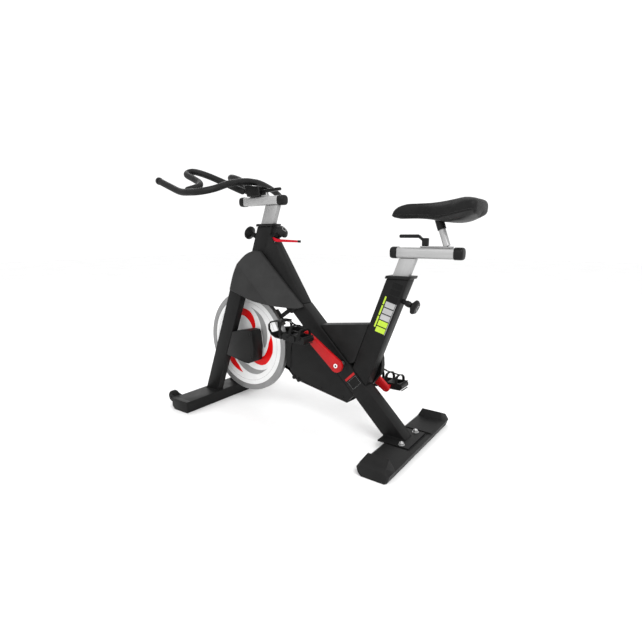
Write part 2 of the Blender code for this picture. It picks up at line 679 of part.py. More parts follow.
def make_flywheel():
    x, z = WHEEL
    at = (x, 0, z)
    left, right, rim_inner = WHEEL_LEFT, WHEEL_RIGHT, DISC_RADIUS + 0.0015
    edge = 0.0025
    rim = [
        (rim_inner, right), (WHEEL_RADIUS - edge, right), (WHEEL_RADIUS, right + edge),
        (WHEEL_RADIUS, left - edge), (WHEEL_RADIUS - edge, left), (rim_inner, left),
    ]
    turned("flywheel_rim", rim, "rim", "flywheel", at, steps=72)
    middle = (left + right) / 2
    edge_radius = rim_inner - GAP
    plate = [
        (0.026, middle - 0.007), (DISC_RADIUS - 0.012, middle - 0.007), (DISC_RADIUS, right + 0.002),
        (edge_radius, right + 0.002), (edge_radius, left - 0.002), (DISC_RADIUS - 0.002, left - 0.001),
        (0.026, left - 0.001),
    ]
    turned("flywheel_disc", plate, "white", "flywheel", at, steps=72)
    hub = [(0.0078, BELT_FAR), (HUB_PULLEY_RADIUS, BELT_FAR), (HUB_PULLEY_RADIUS, BELT_NEAR)]
    hub += [(0.0257, BELT_NEAR), (0.0257, 0.026), (0.0078, 0.026)]
    turned("flywheel_hub", hub, "steel", "flywheel", at, steps=36)
    turned("flywheel_axle", disc(0.0072, -0.0700, 0.0700), "steel", "frame", at, steps=20)


def make_belt():
    """The belt's loop: round the drive pulley, round the hub's pulley, and straight between."""
    (ax, az), (bx, bz) = CRANK, WHEEL
    span = math.hypot(bx - ax, bz - az)
    lean = math.degrees(math.atan2(bz - az, bx - ax))
    big, small = DRIVE_RADIUS + GAP, HUB_PULLEY_RADIUS + GAP
    wrap = math.degrees(math.asin((big - small) / span))

    def loop(grow):
        points = arc(ax, az, big + grow, lean + 90 - wrap, lean + 270 + wrap, 29)
        return points + arc(bx, bz, small + grow, lean - 90 + wrap, lean + 90 - wrap, 13)

    belt = prism("drive_belt", loop(BELT_THICK), BELT_FAR + 0.0005, BELT_NEAR - 0.0005, "rubber")
    cut(belt, prism("belt_inside", loop(0), -0.07, -0.02, "rubber"))


def guard_outline(inset):
    """The belt guard's side view: tall round the drive pulley, narrow round the hub."""
    (ax, az), (bx, bz) = CRANK, WHEEL
    points = arc(ax, az, 0.138 - inset, 80, 195, 10)
    points += [(0.228 + inset, 0.188 + inset * 0.4), (0.303 + inset * 0.6, 0.116 + inset)]
    points += [(0.336, 0.094 + inset), (0.600 - inset * 0.5, 0.142 + inset)]
    points.append((0.640 - inset * 0.5, 0.178 + inset))
    return points + arc(bx, bz, 0.052 - inset, -78, 80, 8)


def make_belt_guard():
    outline, inside = guard_outline(0), guard_outline(0.003)
    guard = prism("belt_guard", outline, GUARD_FAR, GUARD_NEAR, "plastic", bevel=0.0015, segments=1)
    cut(guard, prism("guard_inside", inside, GUARD_FAR + GUARD_WALL, GUARD_NEAR + 0.02, "plastic"))
    cut(guard, cutter_round("guard_spindle_hole", 0.0130, (CRANK[0], -0.05, CRANK[1]), 0.02, 24))
    cut(guard, cutter_round("guard_axle_hole", 0.0180, (WHEEL[0], -0.05, WHEEL[1]), 0.02, 24))


# ---------------------------------------------------------------- brake and knobs


def make_brake():
    """A bracket under the spine, and a felt pad whose carrier slides in it towards the rim."""
    x, _, z = PIVOTS["brake_pad"]
    bracket = [
        (0.5640, 0.4555), (0.6030, 0.5165), (0.6160, 0.5070), (0.6080, 0.4640), (0.5960, 0.4470),
        (0.5760, 0.4440),
    ]
    y0, y1, cheek = 0.0010, 0.0150, 0.0032
    plate = prism("brake_bracket", bracket, y0, y1, "paint")
    slot = [(x - 0.03, z - 0.03), (0.640, z - 0.03), (0.640, 0.4900), (x - 0.03, 0.4900)]
    cut(plate, prism("bracket_slot", slot, y0 + cheek, y1 - cheek, "paint"))
    cut(plate, cutter_round("guide_hole", 0.0053, (x, 0, z), 0.05, 16))
    reach = WHEEL_RADIUS + 0.0115
    shoe_x = WHEEL[0] + reach * math.cos(SHOE_ANGLE)
    shoe_z = WHEEL[1] + reach * math.sin(SHOE_ANGLE)
    heading = math.degrees(math.atan2(shoe_z - z, shoe_x - x))

    def bar(grow):
        back = arc(x, z, 0.0085 + grow, heading + 90, heading + 270, 9)
        return back + arc(shoe_x, shoe_z, 0.0085 + grow, heading - 90, heading + 90, 7)

    carrier = prism("brake_carrier", bar(0), y0 + cheek + GAP, y1 - cheek - GAP, "black", "brake_pad")
    pin = disc(0.0030, y0 - 0.001, y1 + 0.001)
    weld(carrier, turned("carrier_pin", pin, "steel", "brake_pad", (x, 0, z), steps=16))
    inner, outer = WHEEL_RADIUS + BRAKE_CLEAR, WHEEL_RADIUS + BRAKE_CLEAR + 0.009
    start, end = math.degrees(SHOE_ANGLE) - 9, math.degrees(SHOE_ANGLE) + 9
    curve = arc(*WHEEL, inner, start, end, 7) + arc(*WHEEL, outer, end, start, 7)
    shoe = prism("brake_shoe", curve, -0.0030, 0.0190, "felt", "brake_pad")
    cut(shoe, prism("shoe_notch", bar(GAP), y0 + cheek, y1 - cheek, "black"))


def frame_of(direction):
    """Euler turn that takes +Z to this direction in the side view's plane, leaving Y alone."""
    return 0, math.atan2(direction[0], direction[1]), 0


def weld_boss(tube, name, radius, height, bore, at, turn):
    """A threaded boss on the tube's wall, with its bore taken through both."""
    weld(tube, add(name, turned_mesh(name, disc(radius, -0.005, height), 20), "paint", "frame", at, turn))
    hole = turned_mesh(name + "_bore", disc(bore, -0.008, height + 0.01), 20)
    return cut(tube, add(name + "_bore", hole, "paint", "frame", at, turn))


def make_pop_pin(name, tube, at, heading, grip, neck):
    """A sprung pull knob, whose pin goes through the boss and the tube's wall."""
    turn = frame_of(heading)
    weld_boss(bpy.data.objects[tube], name + "_boss", 0.0085, 0.0140, 0.0040, at, turn)
    knob = [(0, -0.0054), (0.0034, -0.0054), (0.0034, 0.0150), (0.0110, 0.0150), (0.0110, 0.0270)]
    head = [(0.0085, 0.0), (grip * 0.60, 0.0050), (grip, 0.0110), (grip, 0.0190)]
    head += [(grip * 0.8, 0.0250), (0, 0.0280)]
    knob += [(radius, neck + height) for radius, height in head]
    turned(name + "_knob", knob, "black", name, at, turn, 28)


def make_knobs():
    back_of_seat_tube = SEAT_AXIS_X - SEAT_TUBE_DEPTH / 2 / math.cos(SEAT_LEAN)
    x, _, z = PIVOTS["seat_pin"]
    x = back_of_seat_tube + (SEAT_TUBE_TOP - z) * math.tan(SEAT_LEAN)
    heading = (-math.cos(SEAT_LEAN), -math.sin(SEAT_LEAN))
    make_pop_pin("seat_pin", "seat_tube", (x, 0, z), heading, 0.025, 0.0320)
    half = HEAD_DEPTH / 2 / math.cos(HEAD_LEAN)
    x, _, z = PIVOTS["head_pin"]
    x = HEAD_AXIS_X + half - (z - HEAD_TOP) * math.tan(HEAD_LEAN)
    heading = (math.cos(HEAD_LEAN), math.sin(HEAD_LEAN))
    make_pop_pin("head_pin", "head_tube", (x, 0, z), heading, 0.028, 0.0380)


def make_resistance_knob():
    """The mushroom knob behind the head, on its threaded rod."""
    x, _, z = PIVOTS["resistance_knob"]
    turn = frame_of((-math.cos(KNOB_RISE), math.sin(KNOB_RISE)))
    weld_boss(bpy.data.objects["upper_spine"], "knob_boss", 0.0100, 0.0160, 0.0056, (x, 0, z), turn)
    knob = [(0, -0.0040), (0.0050, -0.0040), (0.0050, 0.0170), (0.0125, 0.0170), (0.0140, 0.0250)]
    knob += [(0.0200, 0.0320), (0.0270, 0.0380), (0.0275, 0.0440), (0.0230, 0.0520), (0.0120, 0.0570)]
    knob.append((0, 0.0585))
    turned("resistance_knob", knob, "black", "resistance_knob", (x, 0, z), turn, 32)


def make_brake_lever():
    """The red lever comes out of a slot in the back of the spine, beside the knob."""
    x, y, z = PIVOTS["brake_lever"]
    blade = arc(x, z, 0.0070, 80, -80, 7) + [(x - 0.0100, z - 0.0080), (x - 0.0330, z - 0.0105)]
    blade += [(x - 0.1480, z - 0.0120), (x - 0.1480, z - 0.0040), (x - 0.0330, z + 0.0010)]
    blade.append((x - 0.0120, z + 0.0080))
    prism("brake_lever", blade, y - 0.003, y + 0.003, "red", "brake_lever", bevel=0.001, segments=1)
    reach = math.radians(LEVER_SWING)
    slot = arc(x, z, 0.0085, 90, -90, 9) + [(x - 0.030, z - 0.0125 - 0.030 * reach), (x - 0.030, z + 0.0140)]
    cut(bpy.data.objects["upper_spine"], prism("lever_slot", slot, y - 0.0038, y + 0.0038, "black"))


# ---------------------------------------------------------------- handlebar


MAIN_BAR = [
    (0.792, 0.0, 0.9785), (0.794, 0.050, 0.9760), (0.803, 0.127, 0.9600), (0.812, 0.190, 0.9380),
    (0.842, 0.233, 0.9255), (0.892, 0.2475, 0.9240), (0.946, 0.250, 0.9290), (1.010, 0.250, 0.9520),
    (1.071, 0.250, 0.9755),
]


def main_handlebar_points():
    """The whole bar, from the right horn's tip to the left one's."""
    return [(x, -y, z) for x, y, z in reversed(MAIN_BAR[1:])] + MAIN_BAR


def inner_bar_points(sign):
    points = [(0.8215, 0.0275, 0.9395), (0.842, 0.050, 0.952), (0.899, 0.075, 0.980), (0.965, 0.098, 1.008)]
    points += [(1.026, 0.108, 1.025), (1.050, 0.122, 1.022), (1.036, 0.140, 1.009), (0.988, 0.147, 0.990)]
    points += [(0.940, 0.156, 0.969), (0.915, 0.186, 0.951), (0.9235, 0.2310, 0.9345)]
    return [(x, sign * y, z) for x, y, z in points]


def make_slider(name, limits, body):
    """The level tube on a post, with its end caps, which a carriage slides along."""
    x0, x1, z = limits
    half = SLIDER_HEIGHT / 2
    box(name, (x0, -SLIDER_HALF, z - half), (x1, SLIDER_HALF, z + half), "silver", body, 0.0095, 3)


def make_post(name, axis_x, base_z, lean, depth, low_z, slider, body):
    high = slider[2] - SLIDER_HEIGHT / 2 - GAP
    outline = leaning_outline(axis_x, base_z, lean, depth, low_z, high)
    prism(name, outline, -POST_HALF, POST_HALF, "silver", body, bevel=0.003)


def make_lever(name, x, base, way, length, body):
    """A clamp lever: a hub on the stud that pulls the carriage down, and a cranked handle."""
    drop, rise, half = 0.0170, 0.0095, 0.0065
    low, high = base, base + 0.0260
    outline = [(x - 0.0105, low), (x + 0.0105, low)]
    if way > 0:
        arm = base + 0.0270
        outline += [(x + 0.0105, base + drop), (x + 0.0240, arm), (x + length, arm)]
        outline += [(x + length, arm + rise), (x + 0.0220, arm + rise)]
        outline += [(x + 0.0105, high), (x - 0.0105, high)]
    else:
        arm = base + 0.0210
        outline += [(x + 0.0105, high), (x - length, arm + rise), (x - length, arm)]
        outline.append((x - 0.0105, base + drop - 0.003))
    prism(name, outline, -half, half, "black", body, bevel=0.0015, segments=1)


def make_handlebar():
    top = BAR_SLIDER[2] + SLIDER_HEIGHT / 2
    sizes = (HEAD_AXIS_X, HEAD_TOP, HEAD_LEAN, BAR_POST_DEPTH, 0.648)
    make_post("handlebar_post", *sizes, BAR_SLIDER, "handlebar_post")
    make_slider("handlebar_slider", BAR_SLIDER, "handlebar_post")
    base = top + GAP
    outline = [(0.7260, base), (0.7990, base), (0.8120, 0.9640), (0.7360, 0.9560)]
    body = "handlebar_carriage"
    bracket = prism("handlebar_bracket", outline, -0.0300, 0.0300, "black", body, bevel=0.002, segments=1)
    bar_x, _, bar_z = MAIN_BAR[0]
    cut(bracket, cutter_round("bar_seat", TUBE_RADIUS + 0.0010, (bar_x, 0, bar_z - 0.0010), 0.06, 20))
    lever_x = PIVOTS["handlebar_lever"][0]
    low, high = (lever_x - 0.05, -0.0235, base - 0.01), (lever_x + 0.018, 0.0235, 1.0)
    cut(bracket, box("lever_well", low, high, "black"))
    bent_tube("handlebar_main", main_handlebar_points(), TUBE_RADIUS, "rubber", body, 3)
    for side, sign in SIDES.items():
        bent_tube(f"handlebar_inner_{side}", inner_bar_points(sign), TUBE_RADIUS, "rubber", body, 3)
    make_lever("handlebar_lever", lever_x, base, -1, 0.105, "handlebar_lever")


# ---------------------------------------------------------------- seat


def make_seat():
    top = SEAT_SLIDER[2] + SLIDER_HEIGHT / 2
    sizes = (SEAT_AXIS_X, SEAT_TUBE_TOP, SEAT_LEAN, SEAT_POST_DEPTH, 0.400)
    make_post("seat_post", *sizes, SEAT_SLIDER, "seat_post")
    make_slider("seat_slider", SEAT_SLIDER, "seat_post")
    base, body = top + GAP, "seat_carriage"
    low, high = (-0.0720, -0.0135, base), (0.0340, 0.0135, base + PLATE)
    carriage = box("seat_carriage", low, high, "silver", body, 0.0015, 1)
    lean, radius, height = math.radians(20), 0.0115, 0.0720
    foot_x, foot_z = -0.0545, base + 0.0010
    pillar = disc(radius, 0.004, height / math.cos(lean))
    weld(carriage, turned("seat_pillar", pillar, "silver", body, (foot_x, 0, foot_z), (0, lean, 0), 24))
    cut(carriage, box("slider_top", (-0.12, -0.03, base - 0.03), (0.05, 0.03, base), "silver"))
    top_x, top_z = foot_x + height * math.tan(lean), foot_z + height
    place = (top_x + 0.0002, 0, top_z + 0.0006)
    clamp = turned("saddle_clamp", disc(0.0140, 0, 0.0240), "black", body, place, (0, lean, 0), 24)
    underside = SADDLE_BASE - 2 * GAP
    cut(clamp, box("saddle_underside", (-0.2, -0.11, underside), (0.2, 0.11, 1.0), "black"))
    make_saddle(body)
    make_lever("seat_lever", PIVOTS["seat_lever"][0], base + PLATE + GAP, 1, 0.092, "seat_lever")


def make_saddle(body):
    """The padded saddle: narrow nose, wide rear, each section a flat-based oval."""
    # Station along x, half width, top and bottom
    sections = [
        (0.1390, 0.012, 0.846, 0.823), (0.1270, 0.022, 0.859, 0.816), (0.0950, 0.030, 0.866, 0.813),
        (0.0500, 0.034, 0.867, 0.812), (0.0050, 0.043, 0.867, 0.810), (-0.0400, 0.058, 0.868, SADDLE_BASE),
        (-0.0850, 0.074, 0.872, SADDLE_BASE), (-0.1200, 0.081, 0.8755, 0.8075),
        (-0.1480, 0.075, 0.872, 0.815), (-0.1630, 0.050, 0.862, 0.826),
    ]
    around = 12

    def build(bm):
        rows = []
        for x, half, top, bottom in sections:
            row = []
            for k in range(around):
                angle = 2 * math.pi * k / around
                c, s = math.cos(angle), math.sin(angle)
                y = half * math.copysign(abs(c) ** 0.65, c)
                z = (top + bottom) / 2 + (top - bottom) / 2 * math.copysign(abs(s) ** 0.55, s)
                row.append(bm.verts.new((x, y, z)))
            rows.append(row)
        for low, high in zip(rows, rows[1:]):
            for k in range(around):
                following = (k + 1) % around
                bm.faces.new([low[k], low[following], high[following], high[k]])
        bm.faces.new(rows[0])
        bm.faces.new(rows[-1])

    return smooth(add("saddle", mesh_from("saddle", build), "saddle", body), 60)


FINISHES, EMPTIES = {}, {}


def main():
    clear_scene()
    FINISHES.update(make_materials())
    EMPTIES.update(make_pivots())
    make_rear_foot()
    make_front_foot()
    make_spine()
    make_head_tube()
    make_seat_tube()
    make_legs()
    make_covers()
    make_bottom_bracket()
    make_crank()
    make_pedals()
    make_flywheel()
    make_belt()
    make_belt_guard()
    make_brake()
    make_knobs()
    make_brake_lever()
    make_resistance_knob()
    make_handlebar()
    make_seat()


main()
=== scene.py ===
"""Indoor spin bike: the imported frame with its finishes, padding and small parts, in a pale studio."""

import json
import math

import bmesh
import bpy
import numpy as np
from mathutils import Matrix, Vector
from mathutils.bvhtree import BVHTree

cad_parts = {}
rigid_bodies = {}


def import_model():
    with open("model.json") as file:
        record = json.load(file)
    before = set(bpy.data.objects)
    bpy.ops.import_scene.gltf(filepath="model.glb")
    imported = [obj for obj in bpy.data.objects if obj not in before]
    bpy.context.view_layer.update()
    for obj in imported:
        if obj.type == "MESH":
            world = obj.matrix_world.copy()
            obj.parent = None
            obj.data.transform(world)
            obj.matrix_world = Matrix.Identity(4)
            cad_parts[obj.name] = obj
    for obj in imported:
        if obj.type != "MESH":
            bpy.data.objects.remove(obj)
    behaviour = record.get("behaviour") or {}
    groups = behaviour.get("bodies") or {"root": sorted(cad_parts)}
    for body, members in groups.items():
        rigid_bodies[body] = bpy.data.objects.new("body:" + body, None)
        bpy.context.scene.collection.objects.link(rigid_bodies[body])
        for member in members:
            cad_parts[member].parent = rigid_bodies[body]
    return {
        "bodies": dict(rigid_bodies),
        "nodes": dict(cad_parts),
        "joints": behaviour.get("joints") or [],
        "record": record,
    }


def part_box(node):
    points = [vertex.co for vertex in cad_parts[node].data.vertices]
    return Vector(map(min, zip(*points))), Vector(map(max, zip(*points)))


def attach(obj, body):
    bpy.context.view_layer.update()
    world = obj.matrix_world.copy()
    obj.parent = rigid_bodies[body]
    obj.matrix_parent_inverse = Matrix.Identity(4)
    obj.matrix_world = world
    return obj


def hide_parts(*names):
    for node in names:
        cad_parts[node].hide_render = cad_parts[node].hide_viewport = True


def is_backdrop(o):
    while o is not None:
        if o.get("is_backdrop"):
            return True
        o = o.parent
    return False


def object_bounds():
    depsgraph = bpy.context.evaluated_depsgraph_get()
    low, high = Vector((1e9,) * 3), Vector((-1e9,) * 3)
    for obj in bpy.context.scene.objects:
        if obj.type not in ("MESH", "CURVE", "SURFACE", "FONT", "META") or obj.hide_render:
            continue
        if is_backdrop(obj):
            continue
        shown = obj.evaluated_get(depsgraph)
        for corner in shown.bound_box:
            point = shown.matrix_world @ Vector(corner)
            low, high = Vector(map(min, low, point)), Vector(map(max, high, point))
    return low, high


# Stations run along X from the rear floor beam; a station plus this is the place in the frame.
REAR_EDGE = -0.4765
SIDES = {"left": 1, "right": -1}

# Centres, as X station and Z
WHEEL, CRANK, ROLLER = (0.8385, 0.290), (0.319, 0.280), (1.090, 0.043)
# Sideways places of the faces that prints, screws and caps lie on
DISC_LEFT, DISC_RIGHT, ARM_OUTER = 0.0188, 0.0009, 0.0780
TUBE_FACE, COVER_FACE, LEG_FACE, GUARD_FACE = 0.0275, 0.0275, 0.0922, -0.0550
PRINT_PROUD = 0.00025
CRANK_LENGTH, CRANK_ANGLE = 0.170, math.radians(36.5)
PEDAL_INNER, PEDAL_OUTER, PEDAL_Y = 0.1000, 0.1620, 0.1310
PEDAL_TILT = {"left": math.radians(4), "right": math.radians(-2)}
SEAT_LEAN, HEAD_LEAN, PILLAR_LEAN = math.radians(20.8), math.radians(20.0), math.radians(20.0)
SLIDERS = {"seat_post": (-0.1070, 0.1390, 0.7015), "handlebar_post": (0.6180, 0.8560, 0.8985)}
BAR_RADIUS = 0.0137

MAIN_BAR = [
    (0.792, 0.0, 0.9785), (0.794, 0.050, 0.9760), (0.803, 0.127, 0.9600), (0.812, 0.190, 0.9380),
    (0.842, 0.233, 0.9255), (0.892, 0.2475, 0.9240), (0.946, 0.250, 0.9290), (1.010, 0.250, 0.9520),
    (1.071, 0.250, 0.9755),
]
INNER_BAR = [
    (0.8215, 0.0275, 0.9395), (0.842, 0.050, 0.952), (0.899, 0.075, 0.980), (0.965, 0.098, 1.008),
    (1.026, 0.108, 1.025), (1.050, 0.122, 1.022), (1.036, 0.140, 1.009), (0.988, 0.147, 0.990),
    (0.940, 0.156, 0.969), (0.915, 0.186, 0.951), (0.9235, 0.2310, 0.9345),
]
PANEL_FRONT = [
    (0.858, 0.530), (0.845, 0.568), (0.829, 0.606), (0.807, 0.644), (0.779, 0.682), (0.750, 0.697),
    (0.728, 0.694),
]
PANEL_BACK = [
    (0.752, 0.498), (0.708, 0.490), (0.655, 0.484), (0.598, 0.478), (0.545, 0.475), (0.518, 0.475),
    (0.502, 0.481),
]
# Saddle sections: station, half width, top, bottom
SADDLE = [
    (0.1400, 0.016, 0.834, 0.8170), (0.1290, 0.023, 0.849, 0.8155), (0.1050, 0.029, 0.8590, 0.8150),
    (0.0500, 0.034, 0.8600, 0.8145), (0.0050, 0.043, 0.8595, 0.8110), (-0.0400, 0.058, 0.8620, 0.8030),
    (-0.0850, 0.073, 0.8675, 0.7985), (-0.1150, 0.079, 0.8720, 0.8005), (-0.1440, 0.077, 0.8720, 0.8125),
    (-0.1575, 0.066, 0.8680, 0.8185),
]
# Printed crescents on the wheel: degrees past the tip, radius
RED_OUTER = [(0, 155), (15, 157), (30, 157), (45, 150), (57, 143), (67, 130), (76, 113), (86, 92), (90, 78)]
RED_INNER = [(0, 153), (12, 134), (27, 125), (43, 117), (49, 110), (63, 95), (76, 79), (90, 62)]
GREY_OUTER = [(0, 162), (6, 160), (25, 157), (42, 147), (58, 134), (73, 122), (85, 112)]
GREY_INNER = [(0, 161), (5, 157), (25, 133), (45, 109), (72, 101), (85, 104)]


# ---------------------------------------------------------------- finishes


class Finish:
    """A Principled material whose colour, gloss and relief come from textures in object space."""

    def __init__(self, name, **fixed):
        self.material = bpy.data.materials.new(name)
        self.material.use_nodes = True
        self.tree = self.material.node_tree
        self.shader = self.tree.nodes["Principled BSDF"]
        for socket, value in fixed.items():
            self.shader.inputs[socket.replace("_", " ")].default_value = value
        self.place = self.node("ShaderNodeTexCoord").outputs["Object"]

    def node(self, kind, settings=None, **inputs):
        made = self.tree.nodes.new(kind)
        for key, value in (settings or {}).items():
            setattr(made, key, value)
        for key, value in inputs.items():
            self.feed(made.inputs[key.replace("_", " ")], value)
        return made

    def feed(self, socket, value):
        if isinstance(value, bpy.types.NodeSocket):
            self.tree.links.new(value, socket)
        else:
            socket.default_value = value

    def noise(self, scale, detail=3.0, roughness=0.5, place=None):
        made = self.node("ShaderNodeTexNoise", Vector=place or self.place, Scale=scale, Detail=detail)
        made.inputs["Roughness"].default_value = roughness
        return made.outputs["Fac"]

    def cells(self, scale):
        settings = {"feature": "DISTANCE_TO_EDGE"}
        return self.node("ShaderNodeTexVoronoi", settings, Vector=self.place, Scale=scale).outputs["Distance"]

    def rings(self, x, z, pitch):
        """Fine turned rings about an axis along Y through this station and height."""
        centre = self.node("ShaderNodeMapping", Vector=self.place)
        centre.inputs["Location"].default_value = (-x - REAR_EDGE, 0, -z)
        settings = {"wave_type": "RINGS", "rings_direction": "Y"}
        scale = 2 * math.pi / (20 * pitch)
        wave = self.node("ShaderNodeTexWave", settings, Vector=centre.outputs[0], Scale=scale)
        return wave.outputs["Fac"]

    def drawn(self, lean, stretch):
        """Object space turned so that a leaning tube stands upright, then stretched to draw marks out."""
        turned = self.node("ShaderNodeMapping", Vector=self.place)
        turned.inputs["Rotation"].default_value = (0, lean, 0)
        drawn = self.node("ShaderNodeMapping", Vector=turned.outputs[0])
        drawn.inputs["Scale"].default_value = stretch
        return drawn.outputs[0]

    def maths(self, operation, first, second):
        made = self.node("ShaderNodeMath", {"operation": operation})
        self.feed(made.inputs[0], first)
        self.feed(made.inputs[1], second)
        return made.outputs[0]

    def blend(self, first, second, share):
        """This share of the first pattern, and the rest of the second."""
        parts = self.maths("MULTIPLY", first, share), self.maths("MULTIPLY", second, 1 - share)
        return self.maths("ADD", *parts)

    def colour(self, factor, low, high, span=(0.35, 0.65)):
        ramp = self.node("ShaderNodeValToRGB", Fac=factor)
        for stop, place, tone in zip(ramp.color_ramp.elements, span, (low, high)):
            stop.position = place
            stop.color = (*tone, 1)
        self.feed(self.shader.inputs["Base Color"], ramp.outputs["Color"])

    def gloss(self, factor, low, high):
        ends = {"From_Min": 0.3, "From_Max": 0.7, "To_Min": low, "To_Max": high}
        spread = self.node("ShaderNodeMapRange", Value=factor, **ends)
        self.feed(self.shader.inputs["Roughness"], spread.outputs["Result"])

    def relief(self, height, strength, distance):
        bump = self.node("ShaderNodeBump", Height=height, Strength=strength, Distance=distance)
        self.feed(self.shader.inputs["Normal"], bump.outputs["Normal"])


def grey(value, warmth=0.0):
    """A near-neutral linear colour."""
    return value * (1 + warmth), value, value * (1 - warmth)


def coated(name, low, high, rough, grain, depth, clouds=16.0, **fixed):
    """Paint or moulded plastic: two close tones in soft clouds under a fine grain."""
    finish = Finish(name, **fixed)
    fine = finish.noise(grain, 2.0, 0.6)
    cloud = finish.noise(clouds, 5.0, 0.62)
    finish.colour(finish.blend(cloud, fine, 0.75), low, high)
    finish.gloss(cloud, *rough)
    finish.relief(fine, 0.55, depth)
    return finish


def brushed(name, low, high, rough, lean, stretch, **fixed):
    """Metal with fine marks drawn out along a tube."""
    finish = Finish(name, Metallic=0.55, **fixed)
    marks = finish.noise(1.0, 4.0, 0.65, finish.drawn(lean, stretch))
    cloud = finish.noise(9.0, 3.0)
    finish.colour(finish.blend(marks, cloud, 0.6), low, high)
    finish.gloss(marks, *rough)
    finish.relief(marks, 0.35, 0.00012)
    return finish


def turned_metal(name, x, z, pitch, low, high, rough, metallic):
    """A face turned on a lathe, with fine rings about its axis."""
    finish = Finish(name, Metallic=metallic)
    rings = finish.rings(x, z, pitch)
    cloud = finish.noise(14.0, 4.0)
    finish.colour(finish.blend(rings, cloud, 0.3), low, high)
    finish.gloss(cloud, *rough)
    finish.relief(rings, 0.25, 0.00015)
    return finish


def hide(name, low, high, rough, scale, depth, **fixed):
    """Vinyl or leather: small pebbles between creases, over soft clouds."""
    finish = Finish(name, **fixed)
    pebble = finish.node("ShaderNodeMapRange", Value=finish.cells(scale), From_Max=0.12)
    fine = finish.noise(scale * 2.5, 2.0)
    height = finish.maths("ADD", pebble.outputs["Result"], finish.maths("MULTIPLY", fine, 0.5))
    finish.colour(finish.noise(22.0, 5.0, 0.6), low, high)
    finish.gloss(fine, *rough)
    finish.relief(height, 0.5, depth)
    return finish


def make_finishes():
    dull = {"Specular_IOR_Level": 0.11}
    satin = {"Specular_IOR_Level": 0.17}
    lacquer = {"Specular_IOR_Level": 0.20, "Coat_Weight": 0.06, "Coat_Roughness": 0.2}
    crank_red = ((0.32, 0.003, 0.005), (0.42, 0.006, 0.008))
    lever_red = ((0.36, 0.003, 0.012), (0.46, 0.006, 0.018))
    print_red = ((0.62, 0.002, 0.003), (0.74, 0.004, 0.005))
    post_marks = (900, 900, 12)
    return {
        "frame_paint": coated("frame_paint", grey(0.0065), grey(0.0105), (0.40, 0.54), 620, 0.00022, **dull),
        "cover_plastic": coated(
            "cover_plastic", grey(0.0085), grey(0.0135), (0.42, 0.56), 900, 0.00020, **dull
        ),
        # A lighter copy of the cover plastic for the side panels: painted highlight where their bulge faces
        # the light.
        "panel_plastic_painted_highlight": coated(
            "panel_plastic_painted_highlight", grey(0.0150), grey(0.0230), (0.36, 0.48), 1100, 0.00010, **satin
        ),
        "black_plastic": coated(
            "black_plastic", grey(0.0035), grey(0.0070), (0.34, 0.50), 1000, 0.00015, **satin
        ),
        "lever_red": coated("lever_red", *lever_red, (0.34, 0.46), 500, 0.0001, **dull),
        "crank_red": coated("crank_red", *crank_red, (0.30, 0.42), 500, 0.0001, **lacquer),
        "wheel_white": coated("wheel_white", grey(0.70), grey(0.80), (0.30, 0.42), 700, 0.0001),
        "rubber": coated("rubber", grey(0.005), grey(0.010), (0.62, 0.80), 420, 0.0003, **dull),
        "bar_grip": hide("bar_grip", grey(0.005), grey(0.010), (0.42, 0.54), 900, 0.00010, **satin),
        "saddle_cover": hide("saddle_cover", grey(0.006), grey(0.010), (0.42, 0.56), 520, 0.00014, **dull),
        "saddle_side": hide("saddle_side", grey(0.014), grey(0.022), (0.46, 0.60), 520, 0.00014, **satin),
        "brake_felt": coated("brake_felt", grey(0.02, 0.1), grey(0.05, 0.1), (0.85, 0.95), 1500, 0.0006),
        "silver_tube": brushed("silver_tube", grey(0.32), grey(0.41), (0.34, 0.46), 0.0, (12, 900, 900)),
        "seat_post_silver": brushed(
            "seat_post_silver", grey(0.29), grey(0.37), (0.36, 0.48), SEAT_LEAN, post_marks
        ),
        "bar_post_silver": brushed(
            "bar_post_silver", grey(0.27), grey(0.35), (0.36, 0.48), HEAD_LEAN, post_marks
        ),
        "bare_steel": coated("bare_steel", grey(0.36), grey(0.50), (0.24, 0.36), 400, 0.0001, Metallic=0.9),
        "wheel_rim": turned_metal("wheel_rim", *WHEEL, 0.0011, grey(0.22), grey(0.29), (0.34, 0.46), 0.5),
        "print_red": coated("print_red", *print_red, (0.30, 0.38), 800, 0.00005, **satin),
        "print_grey": coated("print_grey", grey(0.22), grey(0.27), (0.32, 0.42), 800, 0.00005),
        "print_black": coated("print_black", grey(0.0015), grey(0.003), (0.22, 0.32), 800, 0.00005, **satin),
        "print_silver": coated("print_silver", grey(0.30), grey(0.40), (0.25, 0.35), 800, 0.00005),
        "print_lime": coated("print_lime", (0.34, 0.50, 0.015), (0.44, 0.62, 0.03), (0.3, 0.4), 800, 0.00005),
        "thread": coated("thread", grey(0.02), grey(0.04), (0.6, 0.8), 1800, 0.0003),
    }


# ---------------------------------------------------------------- shapes


